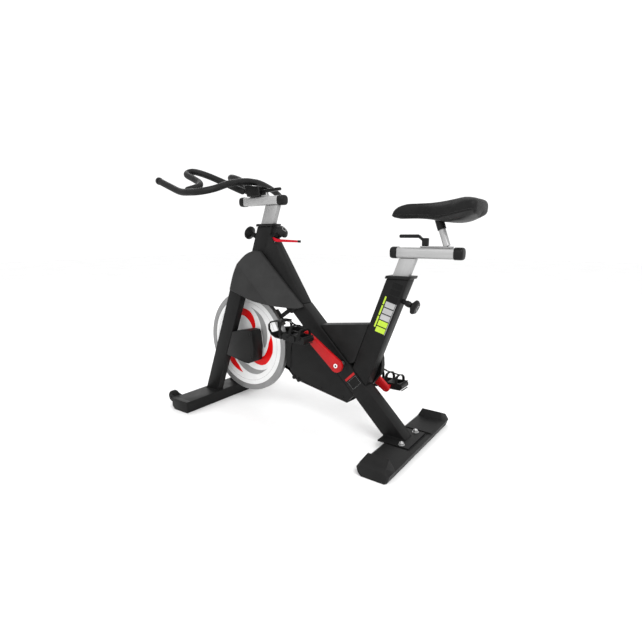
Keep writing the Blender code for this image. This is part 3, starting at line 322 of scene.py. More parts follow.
class Shape:
    """Points and faces gathered at stations along the bike, and then placed as one piece."""

    def __init__(self):
        self.points, self.faces = [], []

    def add(self, points, faces):
        first = len(self.points)
        self.points += [Vector(point) for point in points]
        self.faces += [[first + k for k in face] for face in faces]
        return self

    def loft(self, rings, closed=False):
        """Skins rings of equal count, with a face over each end unless the loft is closed."""
        count, faces = len(rings[0]), []
        for k in range(len(rings) if closed else len(rings) - 1):
            low, high = k * count, (k + 1) % len(rings) * count
            for j in range(count):
                following = (j + 1) % count
                faces.append([low + j, low + following, high + following, high + j])
        if not closed:
            faces.append(list(range(count)))
            faces.append([(len(rings) - 1) * count + j for j in range(count)])
        return self.add([point for ring in rings for point in ring], faces)

    def slab(self, outline, y0, y1):
        """A side-view outline carried across from y0 to y1."""
        return self.loft([[(x, y, z) for x, z in outline] for y in (y0, y1)])

    def lathe(self, profile, centre, direction, steps=28):
        """A profile of (radius, height) turned about a line through the centre."""
        axis = Vector(direction).normalized()
        side = axis.orthogonal().normalized()
        other = axis.cross(side)
        rings = []
        for radius, height in profile:
            ring = []
            for k in range(steps):
                angle = 2 * math.pi * k / steps
                spoke = side * math.cos(angle) + other * math.sin(angle)
                ring.append(Vector(centre) + axis * height + spoke * max(radius, 1e-5))
            rings.append(ring)
        return self.loft(rings)

    def ring(self, inner, outer, low, high, centre, direction, steps=64):
        """A flat washer of square section."""
        axis = Vector(direction).normalized()
        side = axis.orthogonal().normalized()
        other = axis.cross(side)
        rings = []
        for k in range(steps):
            angle = 2 * math.pi * k / steps
            spoke = side * math.cos(angle) + other * math.sin(angle)
            corners = ((inner, low), (outer, low), (outer, high), (inner, high))
            rings.append([Vector(centre) + spoke * radius + axis * height for radius, height in corners])
        return self.loft(rings, closed=True)

    def sweep(self, path, section, closed=False, side=None):
        """A section carried along a path without twisting."""
        path = [Vector(point) for point in path]
        last, rings = len(path) - 1, []
        for k, point in enumerate(path):
            before = path[k - 1] if k or closed else point
            after = path[(k + 1) % len(path)] if k < last or closed else point
            tangent = (after - before).normalized()
            side = tangent.orthogonal() if side is None else side
            side = (side - tangent * side.dot(tangent)).normalized()
            up = tangent.cross(side)
            rings.append([point + side * a + up * b for a, b in section])
        return self.loft(rings, closed)

    def rod(self, path, radius, sides=12):
        """A round bar along a path, with rounded ends."""
        path = [Vector(point) for point in path]
        side, rings = None, []
        ends = [(-1.0, 0.05), (-0.8, 0.6), (-0.4, 0.92)]
        stations = []
        for along, scale in ends:
            heading = (path[1] - path[0]).normalized()
            stations.append((path[0] + heading * radius * along * 0.7, heading, scale))
        for k, point in enumerate(path):
            heading = (path[min(k + 1, len(path) - 1)] - path[max(k - 1, 0)]).normalized()
            stations.append((point, heading, 1.0))
        for along, scale in reversed(ends):
            heading = (path[-1] - path[-2]).normalized()
            stations.append((path[-1] - heading * radius * along * 0.7, heading, scale))
        for point, heading, scale in stations:
            side = heading.orthogonal() if side is None else side
            side = (side - heading * side.dot(heading)).normalized()
            up = heading.cross(side)
            ring = []
            for k in range(sides):
                angle = 2 * math.pi * k / sides
                ring.append(point + (side * math.cos(angle) + up * math.sin(angle)) * radius * scale)
            rings.append(ring)
        return self.loft(rings)

    def mesh(self, name):
        made = bpy.data.meshes.new(name)
        made.from_pydata([(x + REAR_EDGE, y, z) for x, y, z in self.points], [], self.faces)
        bm = bmesh.new()
        bm.from_mesh(made)
        bmesh.ops.recalc_face_normals(bm, faces=bm.faces)
        bm.to_mesh(made)
        bm.free()
        return made

    def place(self, name, finish, body, slot, sharp=35):
        return place_mesh(self.mesh(name), name, [finish], body, slot, sharp)


def place_mesh(mesh, name, finishes, body, slot, sharp=35):
    """Makes the mesh a shown piece that rides on a body."""
    for finish in finishes:
        mesh.materials.append(finish.material)
    mesh.shade_smooth()
    mesh.set_sharp_from_angle(angle=math.radians(sharp))
    made = bpy.data.objects.new(name, mesh)
    bpy.context.collection.objects.link(made)
    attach(made, body)
    return made


def through(points, per_span):
    """Points on a smooth curve that passes through the given ones."""
    given = np.array(points, float)
    given = np.vstack([2 * given[0] - given[1], given, 2 * given[-1] - given[-2]])
    made = []
    for k in range(1, len(given) - 2):
        a, b, c, d = given[k - 1 : k + 3]
        for t in np.arange(per_span) / per_span:
            turn = (2 * a - 5 * b + 4 * c - d) * t * t + (3 * b - a - 3 * c + d) * t**3
            made.append(0.5 * (2 * b + (c - a) * t + turn))
    return made + [given[-2]]


def remeshed(mesh, voxel, passes):
    """One closed skin over overlapping solids, smoothed a little."""
    helper = bpy.data.objects.new("helper", mesh)
    bpy.context.collection.objects.link(helper)
    skin = helper.modifiers.new("skin", "REMESH")
    skin.mode, skin.voxel_size = "VOXEL", voxel
    shaped = helper.evaluated_get(bpy.context.evaluated_depsgraph_get())
    made = bpy.data.meshes.new_from_object(shaped)
    bpy.data.objects.remove(helper)
    bm = bmesh.new()
    bm.from_mesh(made)
    relax(bm, passes)
    bm.to_mesh(made)
    bm.free()
    return made


def relax(bm, passes):
    """Move every vertex halfway towards its neighbours' middle, this many times."""
    axes = {"use_axis_x": True, "use_axis_y": True, "use_axis_z": True}
    for _ in range(passes):
        bmesh.ops.smooth_vert(bm, verts=bm.verts, factor=0.5, **axes)


def circle(radius, sides):
    angles = [2 * math.pi * k / sides for k in range(sides)]
    return [(radius * math.cos(angle), radius * math.sin(angle)) for angle in angles]


def oblong(a, b):
    return [(-a, -b), (a, -b), (a, b), (-a, b)]


def squared(value, power):
    """A sine or cosine raised to a power below one, sign kept, which squares a circle off."""
    return math.copysign(abs(value) ** power, value)


def pedal_centre(side):
    reach = SIDES[side] * CRANK_LENGTH
    return CRANK[0] + reach * math.cos(CRANK_ANGLE), CRANK[1] + reach * math.sin(CRANK_ANGLE)


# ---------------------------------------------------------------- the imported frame


def refine(node, finish):
    """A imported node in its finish, with its edges eased and its curves shaded smooth."""
    mesh = node.data
    kept = mesh.attributes.get("custom_normal")
    if kept:
        mesh.attributes.remove(kept)
    mesh.shade_smooth()
    mesh.materials.clear()
    mesh.materials.append(finish.material)
    node.modifiers.new("join", "WELD").merge_threshold = 0.00002
    ease = node.modifiers.new("ease", "BEVEL")
    ease.width, ease.segments, ease.limit_method = 0.0007, 2, "ANGLE"
    ease.angle_limit, ease.harden_normals = math.radians(32), True


def finish_nodes(frame, finishes):
    special = {
        "seat_post": "seat_post_silver",
        "handlebar_post": "bar_post_silver",
        "bottom_bracket_shell": "frame_paint",
        "brake_lever": "lever_red",
        "crank_bearing_left": "black_plastic",
        "crank_bearing_right": "black_plastic",
    }
    for row in frame["record"]["subparts"]:
        name = row["node"]
        finish = finishes[special.get(name, row["material_slot"])]
        refine(frame["nodes"][name], finish)


# ---------------------------------------------------------------- handlebar


def make_handlebar(finishes):
    """The outer bar and the two looped inner bars, joined in one dipped skin."""
    bars = Shape()
    outer = [(x, -y, z) for x, y, z in reversed(MAIN_BAR[1:])] + MAIN_BAR
    bars.rod(through(outer, 8), BAR_RADIUS, 24)
    for sign in SIDES.values():
        bars.rod(through([(x, sign * y, z) for x, y, z in INNER_BAR], 8), BAR_RADIUS, 24)
    skin = remeshed(bars.mesh("handlebar_skin"), 0.0024, 5)
    bar = place_mesh(skin, "handlebar_grip", [finishes["bar_grip"]], "handlebar_carriage", "bar_grip", 60)
    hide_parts("handlebar_main", "handlebar_inner_left", "handlebar_inner_right")
    plugs = Shape()
    for sign in SIDES.values():
        tip, before = (Vector((x, sign * y, z)) for x, y, z in (MAIN_BAR[-1], MAIN_BAR[-2]))
        heading = (tip - before).normalized()
        profile = [(0.0, -0.005), (0.0142, -0.004), (0.0150, -0.003), (0.0150, 0.004)]
        profile += [(0.0138, 0.0075), (0.009, 0.0095), (0, 0.010)]
        plugs.lathe(profile, tip + heading * 0.004, heading, 28)
    plugs.place("bar_end_plugs", finishes["black_plastic"], "handlebar_carriage", "black_plastic", 30)
    stud = Shape()
    stud.slab([(0.7080, 0.9168), (0.7328, 0.9168), (0.7328, 0.9212), (0.7080, 0.9212)], -0.0135, 0.0135)
    profile = [(0, 0), (0.0042, 0), (0.0042, 0.0125), (0.0034, 0.0135), (0, 0.0135)]
    stud.lathe(profile, (0.7145, 0, 0.9210), (0, 0, 1), 20)
    stud.place("bar_clamp_stud", finishes["silver_tube"], "handlebar_carriage", "silver_tube", 30)


def make_slider_caps(finishes):
    """Rounded plastic caps over both ends of each slider."""
    for body, (rear, front, z) in SLIDERS.items():
        caps = Shape()
        for end, way, length in ((rear, 1, 0.026), (front, -1, 0.024)):
            rings = []
            stations = [(-0.0030, 0.45), (-0.0026, 0.72), (-0.0012, 0.88), (0.0015, 0.965), (0.0055, 1.0)]
            stations += [(length - 0.001, 1.0), (length, 0.985)]
            for along, scale in stations:
                ring = []
                for c, s in circle(1.0, 40):
                    y, up = 0.0208 * scale * squared(c, 0.72), 0.0202 * scale * squared(s, 0.72)
                    ring.append((end + way * along, y, z + up))
                rings.append(ring)
            caps.loft(rings)
        caps.place(body + "_slider_caps", finishes["black_plastic"], body, "black_plastic", 40)


# ---------------------------------------------------------------- saddle


def saddle_sections(shrink):
    """Saddle cross-sections on a smooth run through the given ones, a little smaller all round."""
    rings = []
    for x, half, top, bottom in through(SADDLE, 5):
        half, middle, tall = half - shrink, (top + bottom) / 2, (top - bottom) / 2 - shrink
        ring = []
        for c, s in circle(1.0, 40):
            y = half * squared(c, 0.65)
            dip = 0.0030 * max(0.0, s) * math.exp(-((y / 0.010) ** 2)) * (x > -0.150)
            ring.append((x, y, middle + tall * squared(s, 0.55) - dip))
        rings.append(ring)
    return rings


def inflated(mesh, cap):
    """The mesh after a short cloth run with air inside, where no point moves further than the cap."""
    start = np.array([point.co for point in mesh.vertices])
    pad = bpy.data.objects.new("pad", mesh)
    bpy.context.collection.objects.link(pad)
    cloth = pad.modifiers.new("cloth", "CLOTH")
    cloth.settings.use_pressure = True
    cloth.settings.uniform_pressure_force = 4.0
    cloth.settings.quality = 6
    cloth.settings.tension_stiffness = cloth.settings.compression_stiffness = 30.0
    cloth.settings.effector_weights.gravity = 0.0
    cloth.collision_settings.use_collision = False
    for frame in range(1, 21):
        bpy.context.scene.frame_set(frame)
    shaped = pad.evaluated_get(bpy.context.evaluated_depsgraph_get())
    made = bpy.data.meshes.new_from_object(shaped)
    bpy.data.objects.remove(pad)
    bpy.context.scene.frame_set(1)
    moved = np.array([point.co for point in made.vertices]) - start
    reach = np.linalg.norm(moved, axis=1, keepdims=True)
    kept = start + moved * np.minimum(1.0, cap / np.maximum(reach, 1e-9))
    for point, place in zip(made.vertices, kept):
        point.co = place
    return made


def seam_height(x):
    """Height of the seam between the saddle's cover and its lower side, by station."""
    stations = [-0.170, -0.140, -0.110, -0.070, -0.030, 0.020, 0.100, 0.150]
    heights = [0.832, 0.831, 0.826, 0.818, 0.8115, 0.8160, 0.8190, 0.824]
    return float(np.interp(x, stations, heights))


def make_saddle(finishes):
    """The padded seat: cover on top, a duller side below the seam at its rear, a plain underside."""
    lower_side, underside, lowest = 1, 2, 0.7965
    shape = Shape().loft(saddle_sections(0.0026))
    skin = remeshed(shape.mesh("saddle_skin"), 0.0045, 2)
    skin = inflated(skin, 0.0045)
    bm = bmesh.new()
    bm.from_mesh(skin)
    bmesh.ops.subdivide_edges(bm, edges=bm.edges, cuts=1, use_grid_fill=True, smooth=0.6)
    relax(bm, 2)
    for vert in bm.verts:
        vert.co.z = max(vert.co.z, lowest)
    for face in bm.faces:
        centre = face.calc_center_median()
        station = centre.x - REAR_EDGE
        beside = -0.148 < station < -0.020 and abs(face.normal.y) > 0.3
        if face.normal.z < -0.80:
            face.material_index = underside
        elif beside and centre.z < seam_height(station):
            face.material_index = lower_side
    tree = BVHTree.FromBMesh(bm)
    bm.to_mesh(skin)
    bm.free()
    skins = [finishes["saddle_cover"], finishes["saddle_side"], finishes["black_plastic"]]
    saddle = place_mesh(skin, "saddle_pad", skins, "seat_carriage", "saddle_cover", 60)
    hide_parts("saddle")
    make_saddle_seams(tree, finishes)


def make_saddle_seams(tree, finishes):
    """A welt between cover and lower side, and a row of stitches above it."""
    outline = [(x, half) for x, half, _, _ in through(SADDLE, 6)]
    loop = outline + [(x, -half) for x, half in reversed(outline)]
    welt, stitches = Shape(), Shape()
    for lift, shape in ((0.0, welt), (0.0042, stitches)):
        path = []
        for x, y in loop:
            found, normal, _, _ = tree.find_nearest(Vector((x + REAR_EDGE, y, seam_height(x) + lift)))
            path.append(found + normal * (0.0002 if lift else 0.0001) - Vector((REAR_EDGE, 0, 0)))
        if shape is welt:
            welt.sweep(path, circle(0.0013, 8), closed=True)
            continue
        for here, there in zip(path, path[1:]):
            count = max(1, round((there - here).length / 0.0052))
            for k in range(count):
                a, b = here.lerp(there, (k + 0.15) / count), here.lerp(there, (k + 0.75) / count)
                stitches.rod([a, b], 0.00038, 6)
    welt.place("saddle_welt", finishes["black_plastic"], "seat_carriage", "saddle_cover", 60)
    stitches.place("saddle_stitches", finishes["thread"], "seat_carriage", "saddle_cover", 60)


# ---------------------------------------------------------------- covers


def make_side_panels(finishes):
    """The bulged panels, with a fine skin and lips that roll in at their edges."""
    rows, columns, lip = 56, 44, 0.0050
    # Above the ridge line a panel lies flat; below it, it bulges out over this reach
    ridge_x, ridge_z, slope = 0.502, 0.481, 0.9425
    flat, bulge, reach = 0.0310, 0.0618, 0.092
    front = through(PANEL_FRONT, 10)
    back = through(PANEL_BACK, 10)
    pick = np.linspace(0, len(front) - 1, rows)

    def edge(points, at):
        return np.array([np.interp(at, range(len(points)), [p[k] for p in points]) for k in (0, 1)])

    for side, sign in SIDES.items():
        outer, inner = [], []
        for r, at in enumerate(pick):
            near, far = edge(front, at), edge(back, at)
            width = np.linalg.norm(far - near)
            for c in range(columns):
                t = c / (columns - 1)
                t = t * t * (3 - 2 * t)
                x, z = near * (1 - t) + far * t
                away = max(0.0, slope * (x - ridge_x) - (z - ridge_z)) / math.hypot(1, slope)
                out = flat + bulge * min(1.0, away / reach) ** 0.70
                border = min(t * width, (1 - t) * width + 0.004, r * 0.006 + 0.0004, (rows - 1 - r) * 0.006)
                short = max(0.0, lip - border)
                roll = lip - math.sqrt(lip * lip - short * short)
                outer.append((x, sign * (out + 0.0025 - roll), z))
                inner.append((x, sign * (out - 0.0004 - roll), z))
        faces = []
        for r in range(rows - 1):
            for c in range(columns - 1):
                k = r * columns + c
                faces.append([k, k + 1, k + columns + 1, k + columns])
        rim = list(range(columns)) + [r * columns + columns - 1 for r in range(1, rows)]
        rim += [(rows - 1) * columns + c for c in range(columns - 2, -1, -1)]
        rim += [r * columns for r in range(rows - 2, 0, -1)]
        count = rows * columns
        faces += [[count + k for k in face[::-1]] for face in faces]
        faces += [[a, b, b + count, a + count] for a, b in zip(rim, rim[1:] + rim[:1])]
        shape = Shape().add(outer + inner, faces)
        # The panels take the lighter copy of the cover plastic, a painted highlight on their bulge.
        panel = shape.place(f"panel_skin_{side}", finishes["panel_plastic_painted_highlight"], "frame", "cover_plastic", 50)
        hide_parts(f"side_panel_{side}")


def make_foot_trim(finishes):
    """The middle cover of the rear beam, and the front beam's end caps."""
    section = [
        (-0.006, 0.028), (0.004, 0.0004), (0.098, 0.0004), (0.110, 0.012), (0.114, 0.026), (0.108, 0.0288),
        (0.1006, 0.0288), (0.1006, 0.0055), (0.0114, 0.0055), (0.0114, 0.0288), (0.0, 0.0288),
    ]
    middle = Shape().slab(section, -0.0880, 0.0880)
    middle.place("rear_foot_middle_cover", finishes["cover_plastic"], "frame", "cover_plastic", 25)
    caps = Shape()
    mid_x, mid_z = 1.009, 0.026
    for sign in SIDES.values():
        outline = [(0.9585, 0.0060), (0.9620, 0.0020), (1.0450, 0.0020), (1.0595, 0.0150)]
        outline += [(1.0595, 0.0470), (1.0570, 0.0495), (0.9610, 0.0495), (0.9585, 0.0470)]
        grown = [(x + (x - mid_x) * 0.022, z + (z - mid_z) * 0.03) for x, z in outline]
        rings = []
        for y, scale in ((0.2520, 0.995), (0.2530, 1.0), (0.2695, 1.0), (0.2718, 0.97), (0.2724, 0.90)):
            drawn = [(mid_x + (x - mid_x) * scale, mid_z + (z - mid_z) * scale) for x, z in grown]
            rings.append([(x, sign * y, max(0.0003, z)) for x, z in drawn])
        caps.loft(rings)
    caps.place("front_foot_end_caps", finishes["cover_plastic"], "frame", "cover_plastic", 30)


def make_casing_trim(finishes):
    """A near-black band of painted shade down the front of the casing behind the wheel's rim, with its two
    lugs, and the screws of both lower covers.
    """
    # Painted shade: the band is near-black print where the casing lies in the wheel's shadow.
    shade_band = Shape()
    outline = [
        (0.5900, 0.2140), (0.5985, 0.2250), (0.5990, 0.2900), (0.5920, 0.3380),
        (0.5700, 0.3440), (0.5640, 0.3400), (0.5740, 0.2900), (0.5760, 0.2160),
    ]
    shade_band.slab(outline, 0.0035, 0.0290)
    lug = [(0, 0), (0.0080, 0), (0.0080, 0.0265), (0.0070, 0.0280), (0, 0.0280)]
    for x, z in ((0.5600, 0.1760), (0.5360, 0.1680)):
        shade_band.lathe(lug, (x, 0.0030, z), (0, 1, 0), 24)
    shade_band.place("casing_band_painted_shade", finishes["print_black"], "frame", "black_plastic", 30)
    screws = Shape()
    spots = [(0.315, 0.140), (0.420, 0.157), (0.535, 0.178), (0.545, 0.330), (0.470, 0.333)]
    for x, z in spots:
        add_screw(screws, (x, COVER_FACE, z), (0, 1, 0), 0.0042)
    round_crank = [math.radians(angle) for angle in (95, 130, 165, 195)]
    spots = [(CRANK[0] + 0.128 * math.cos(turn), CRANK[1] + 0.128 * math.sin(turn)) for turn in round_crank]
    spots += [(0.345, 0.106), (0.480, 0.129), (0.610, 0.156), (0.850, 0.332), (0.700, 0.351), (0.560, 0.371)]
    for x, z in spots:
        add_screw(screws, (x, GUARD_FACE, z), (0, -1, 0), 0.0042)
    screws.place("cover_screws", finishes["black_plastic"], "frame", "black_plastic", 30)


def add_screw(shape, spot, direction, radius):
    """A pan head with a round socket."""
    heading = Vector(direction)
    head = [(0, -0.0005), (radius, -0.0005), (radius, 0.0008), (radius * 0.85, 0.0019)]
    head += [(radius * 0.52, 0.0023), (radius * 0.50, 0.0012), (0, 0.0012)]
    shape.lathe(head, spot, heading, 18)


def add_bolt(shape, spot, direction, size):
    """A washer, a chamfered hexagon nut and the domed end of its bolt."""
    spot, heading = Vector(spot), Vector(direction)
    rim = size * 1.25
    washer = [(0, 0.0), (rim, 0.0), (rim, 0.0012), (size * 1.15, 0.0018), (0, 0.0018)]
    nut = [(0, 0.0016), (size * 0.95, 0.0016), (size, 0.0024), (size, size * 0.75)]
    nut += [(size * 0.9, size * 0.9), (0, size * 0.9)]
    dome = [(0, 0.8), (0.55, 0.8), (0.53, 1.1), (0.35, 1.3), (0, 1.38)]
    shape.lathe(washer, spot, heading, 28)
    shape.lathe(nut, spot, heading, 6)
    shape.lathe([(radius * size, height * size) for radius, height in dome], spot, heading, 20)


def make_fasteners(finishes):
    """The base plate's bolts, and the screws of legs, brake bracket and rollers."""
    bolts = Shape()
    for y in (-0.062, 0.062):
        add_bolt(bolts, (0.050, y, 0.0350), (0, 0, 1), 0.0095)
    bolts.place("base_bolts", finishes["bare_steel"], "frame", "bare_steel", 25)
    small = Shape()
    for sign in SIDES.values():
        add_screw(small, (0.7420, sign * LEG_FACE, 0.2420), (0, sign, 0), 0.0036)
        add_screw(small, (0.7440, sign * LEG_FACE, 0.3460), (0, sign, 0), 0.0036)
        add_screw(small, (0.5920, 0.0080 + sign * 0.0070, 0.4980), (0, sign, 0), 0.0040)
    for sign in SIDES.values():
        for y, out in ((0.2560, sign), (0.2200, -sign)):
            add_screw(small, (ROLLER[0], sign * y, ROLLER[1]), (0, out, 0), 0.0060)
    small.place("small_screws", finishes["black_plastic"], "frame", "black_plastic", 25)


def make_lever_grips(finishes):
    """A thick moulded grip over each clamp lever's arm."""
    soft = [(squared(a, 0.6), squared(b, 0.6)) for a, b in circle(1.0, 20)]
    # Where each grip starts and ends, as X station and Z
    grips = {
        "seat_lever": ((0.0440, 0.7564), (0.1110, 0.7564)),
        "handlebar_lever": ((0.7080, 0.9412), (0.6400, 0.9426)),
    }
    for body, ends in grips.items():
        start, end = (Vector((x, 0, z)) for x, z in ends)
        rings = []
        for t, scale in ((0.0, 0.80), (0.02, 1.0), (0.5, 1.0), (0.96, 1.0), (0.985, 0.93), (1.0, 0.72)):
            middle = start.lerp(end, t)
            rings.append([middle + Vector((0, b * 0.0076, a * 0.0060)) * scale for a, b in soft])
        grip = Shape().loft(rings)
        grip.place(body + "_grip", finishes["black_plastic"], body, "black_plastic", 40)


def make_saddle_collar(finishes):
    """The black sleeve at the top of the saddle's pillar."""
    axis = Vector((math.sin(PILLAR_LEAN), 0, math.cos(PILLAR_LEAN)))
    collar = Shape().ring(0.0117, 0.0141, 0.0600, 0.0770, (-0.0545, 0, 0.7208), axis, 36)
    collar.place("saddle_collar", finishes["black_plastic"], "seat_carriage", "black_plastic", 30)


def make_head_plates(finishes):
    """Plates that close the upper spine's end along both sides of the head tube."""
    plates = Shape()
    low, high = 0.688, 0.762
    for sign in SIDES.values():
        outline = []
        for z, back in ((low, 0.005), (high, 0.005), (high, -0.0004), (low, -0.0004)):
            outline.append((0.6701 + (0.795 - z) * math.tan(HEAD_LEAN) - back, z))
        plates.slab(outline, sign * 0.0212, sign * 0.0281)
    plates.place("head_closing_plates", finishes["frame_paint"], "frame", "frame_paint", 30)


def make_welds(finishes):
    """Rippled beads where tubes meet plates and beams."""
    beads = Shape()
    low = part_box("lower_spine")[0].x - REAR_EDGE
    loops = [[(low + 0.047 + x, y, 0.0362) for x, y in oblong(0.041, 0.0300)]]
    for sign in SIDES.values():
        x0, x1 = 0.9675, 1.0430
        y0, y1 = sign * 0.0562, sign * 0.0922
        loops.append([(x0, y0, 0.0506), (x1, y0, 0.0506), (x1, y1, 0.0506), (x0, y1, 0.0506)])
    for loop in loops:
        add_bead(beads, loop, 0.0024)
    beads.place("weld_beads", finishes["frame_paint"], "frame", "frame_paint", 60)


def add_bead(shape, corners, radius):
    """A closed bead that swells and narrows from ripple to ripple."""
    path, pitch = [], 0.0022
    for here, there in zip(corners, corners[1:] + corners[:1]):
        here, there = Vector(here), Vector(there)
        count = max(2, round((there - here).length / pitch))
        path += [here.lerp(there, k / count) for k in range(count)]
    rings, count = [], len(path)
    for k, point in enumerate(path):
        tangent = (path[(k + 1) % count] - path[k - 1]).normalized()
        side = tangent.cross(Vector((0, 0, 1))).normalized()
        swell = radius * (1.0 if k % 2 else 0.80)
        rings.append([point + (side * a + Vector((0, 0, b))) * swell for a, b in circle(1.0, 8)])
    shape.loft(rings, closed=True)


# ---------------------------------------------------------------- drive


def pedal_place(side):
    """The way from a place on a pedal (along, sideways, up) to the place in the frame."""
    px, pz = pedal_centre(side)
    c, s = math.cos(PEDAL_TILT[side]), math.sin(PEDAL_TILT[side])

    def at(u, y, w):
        return Vector((px + u * c - w * s, SIDES[side] * y, pz + u * s + w * c))

    return at


def make_pedal_edges(side, finishes):
    """Cleats along both edges of a pedal, screws at its ends, and a cap over its axle."""
    at, body = pedal_place(side), f"pedal_{side}"
    cleats = Shape()
    for row in (-0.0505, 0.0475):
        for k in range(8):
            y = PEDAL_INNER + 0.0060 + k * 0.0071
            for top in (1, -1):
                rings = []
                for up, half in ((0.0128, 0.0026), (0.0158, 0.0009)):
                    rings.append([at(row + a, y + b, top * up) for a, b in oblong(half, half)])
                cleats.loft(rings)
    for y, out in ((PEDAL_INNER, -SIDES[side]), (PEDAL_OUTER, SIDES[side])):
        for u in (-0.028, 0.028):
            add_screw(cleats, at(u, y, 0.0), (0, out, 0), 0.0036)
    cleats.place(f"pedal_cleats_{side}", finishes["black_plastic"], body, "black_plastic", 25)
    cap = Shape()
    profile = [(0, -0.001), (0.0125, -0.001), (0.0125, 0.0022), (0.0105, 0.0040), (0.0, 0.0042)]
    cap.lathe(profile, at(0, PEDAL_OUTER + 0.0030, 0), Vector((0, SIDES[side], 0)), 24)
    cap.place(f"pedal_axle_cap_{side}", finishes["black_plastic"], body, "black_plastic", 30)


def make_toe_straps(side, finishes):
    """Three hoops over a pedal, the strap along their tops, and its buckle."""
    at, body, across = pedal_place(side), f"pedal_{side}", Vector((0, 1, 0))
    hoops = Shape()
    for u, high, wide in ((-0.030, 0.038, 0.0), (0.012, 0.044, 0.0005), (0.060, 0.0565, 0.001)):
        y0, y1 = PEDAL_INNER - 0.002 - wide, PEDAL_OUTER + 0.002 + wide
        points = [(u, y0, 0.002), (u, y0 - 0.001, 0.022), (u + 0.002, y0 + 0.006, high - 0.006)]
        points += [(u + 0.003, y0 + 0.020, high), (u + 0.003, y1 - 0.020, high)]
        points += [(u + 0.002, y1 - 0.006, high - 0.006), (u, y1 + 0.001, 0.022), (u, y1, 0.002)]
        hoops.sweep([at(*p) for p in through(points, 6)], oblong(0.0012, 0.0055), side=across)
    run = ((0.078, 0.0590), (0.040, 0.0530), (0.012, 0.0462), (-0.032, 0.0402))
    points = [(u, PEDAL_Y, w) for u, w in run]
    hoops.sweep([at(*p) for p in through(points, 8)], oblong(0.0050, 0.0009), side=across)
    hoops.place(f"toe_straps_{side}", finishes["rubber"], body, "rubber", 40)
    buckle = Shape()
    ring = [at(0.036 + a, PEDAL_Y + b, 0.0535 + 0.2 * a) for a, b in oblong(0.006, 0.0065)]
    buckle.sweep(ring, circle(0.0010, 8), closed=True)
    buckle.place(f"strap_buckle_{side}", finishes["bare_steel"], body, "bare_steel", 60)


def make_crank_cap(side, finishes):
    """A white ring round a dark centre, over the spindle's end."""
    sign = SIDES[side]
    spot, outward = (CRANK[0], sign * ARM_OUTER, CRANK[1]), (0, sign, 0)
    white, dark = Shape(), Shape()
    white.ring(0.0040, 0.0082, -0.0005, 0.0016, spot, outward, 40)
    white.place(f"crank_cap_ring_{side}", finishes["wheel_white"], "crank", "wheel_white", 30)
    profile = [(0, -0.0005), (0.0039, -0.0005), (0.0039, 0.0010), (0.0030, 0.0012), (0.0, 0.0004)]
    dark.lathe(profile, spot, outward, 24)
    dark.place(f"crank_cap_centre_{side}", finishes["print_black"], "crank", "black_plastic", 30)


def crescent(shape, tip, outer, inner, y0, y1):
    """A printed crescent on the wheel, from its tip round to its broad end."""
    steps = 40
    rings = []
    for past in np.linspace(0, outer[-1][0], steps):
        high = np.interp(past, *zip(*outer)) / 1000
        low = min(high - 0.0004, np.interp(past, *zip(*inner)) / 1000)
        angle = math.radians(tip + past)
        ring = []
        for radius, y in ((low, y0), (high, y0), (high, y1), (low, y1)):
            ring.append((WHEEL[0] + radius * math.cos(angle), y, WHEEL[1] + radius * math.sin(angle)))
        rings.append(ring)
    shape.loft(rings)


def make_wheel_print(finishes):
    """Crescents and rings printed on both faces of the disc, and a black ring of painted shade in the groove
    at its rim.
    """
    for side, face, out in (("left", DISC_LEFT, 1), ("right", DISC_RIGHT, -1)):
        y0, y1 = face - 0.0002 * out, face + PRINT_PROUD * out
        red, pale, line = Shape(), Shape(), Shape()
        for turn in (0, 120, 240):
            crescent(red, 42 + turn, RED_OUTER, RED_INNER, y0, y1)
            crescent(pale, 102 + turn, GREY_OUTER, GREY_INNER, y0, y1)
        red.place(f"wheel_red_{side}", finishes["print_red"], "flywheel", "wheel_white", 40)
        pale.place(f"wheel_grey_{side}", finishes["print_grey"], "flywheel", "wheel_white", 40)
        centre, direction = (WHEEL[0], face, WHEEL[1]), (0, out, 0)
        line.ring(0.0405, 0.0415, -0.0002, 0.0003, centre, direction, 72)
        line.ring(0.1800, 0.1808, -0.0002, 0.0003, centre, direction, 120)
        line.place(f"wheel_lines_{side}", finishes["print_grey"], "flywheel", "wheel_white", 40)
    # Painted shade: a black ring in the groove between rim and disc, where the groove's wall lies in shadow.
    groove_shade = Shape()
    groove_shade.ring(0.1992, 0.2013, -0.0012, 0.0002, (WHEEL[0], DISC_LEFT - 0.0012, WHEEL[1]), (0, 1, 0), 144)
    groove_shade.place("wheel_groove_painted_shade", finishes["black_plastic"], "flywheel", "wheel_rim", 40)
    caps = Shape()
    profile = [(0, 0), (0.020, 0), (0.020, 0.003), (0.017, 0.006), (0, 0.0065)]
    caps.lathe(profile, (WHEEL[0], 0.0260, WHEEL[1]), (0, 1, 0), 32)
    caps.place("wheel_hub_cap", finishes["bare_steel"], "flywheel", "bare_steel", 30)


# ---------------------------------------------------------------- print and trim


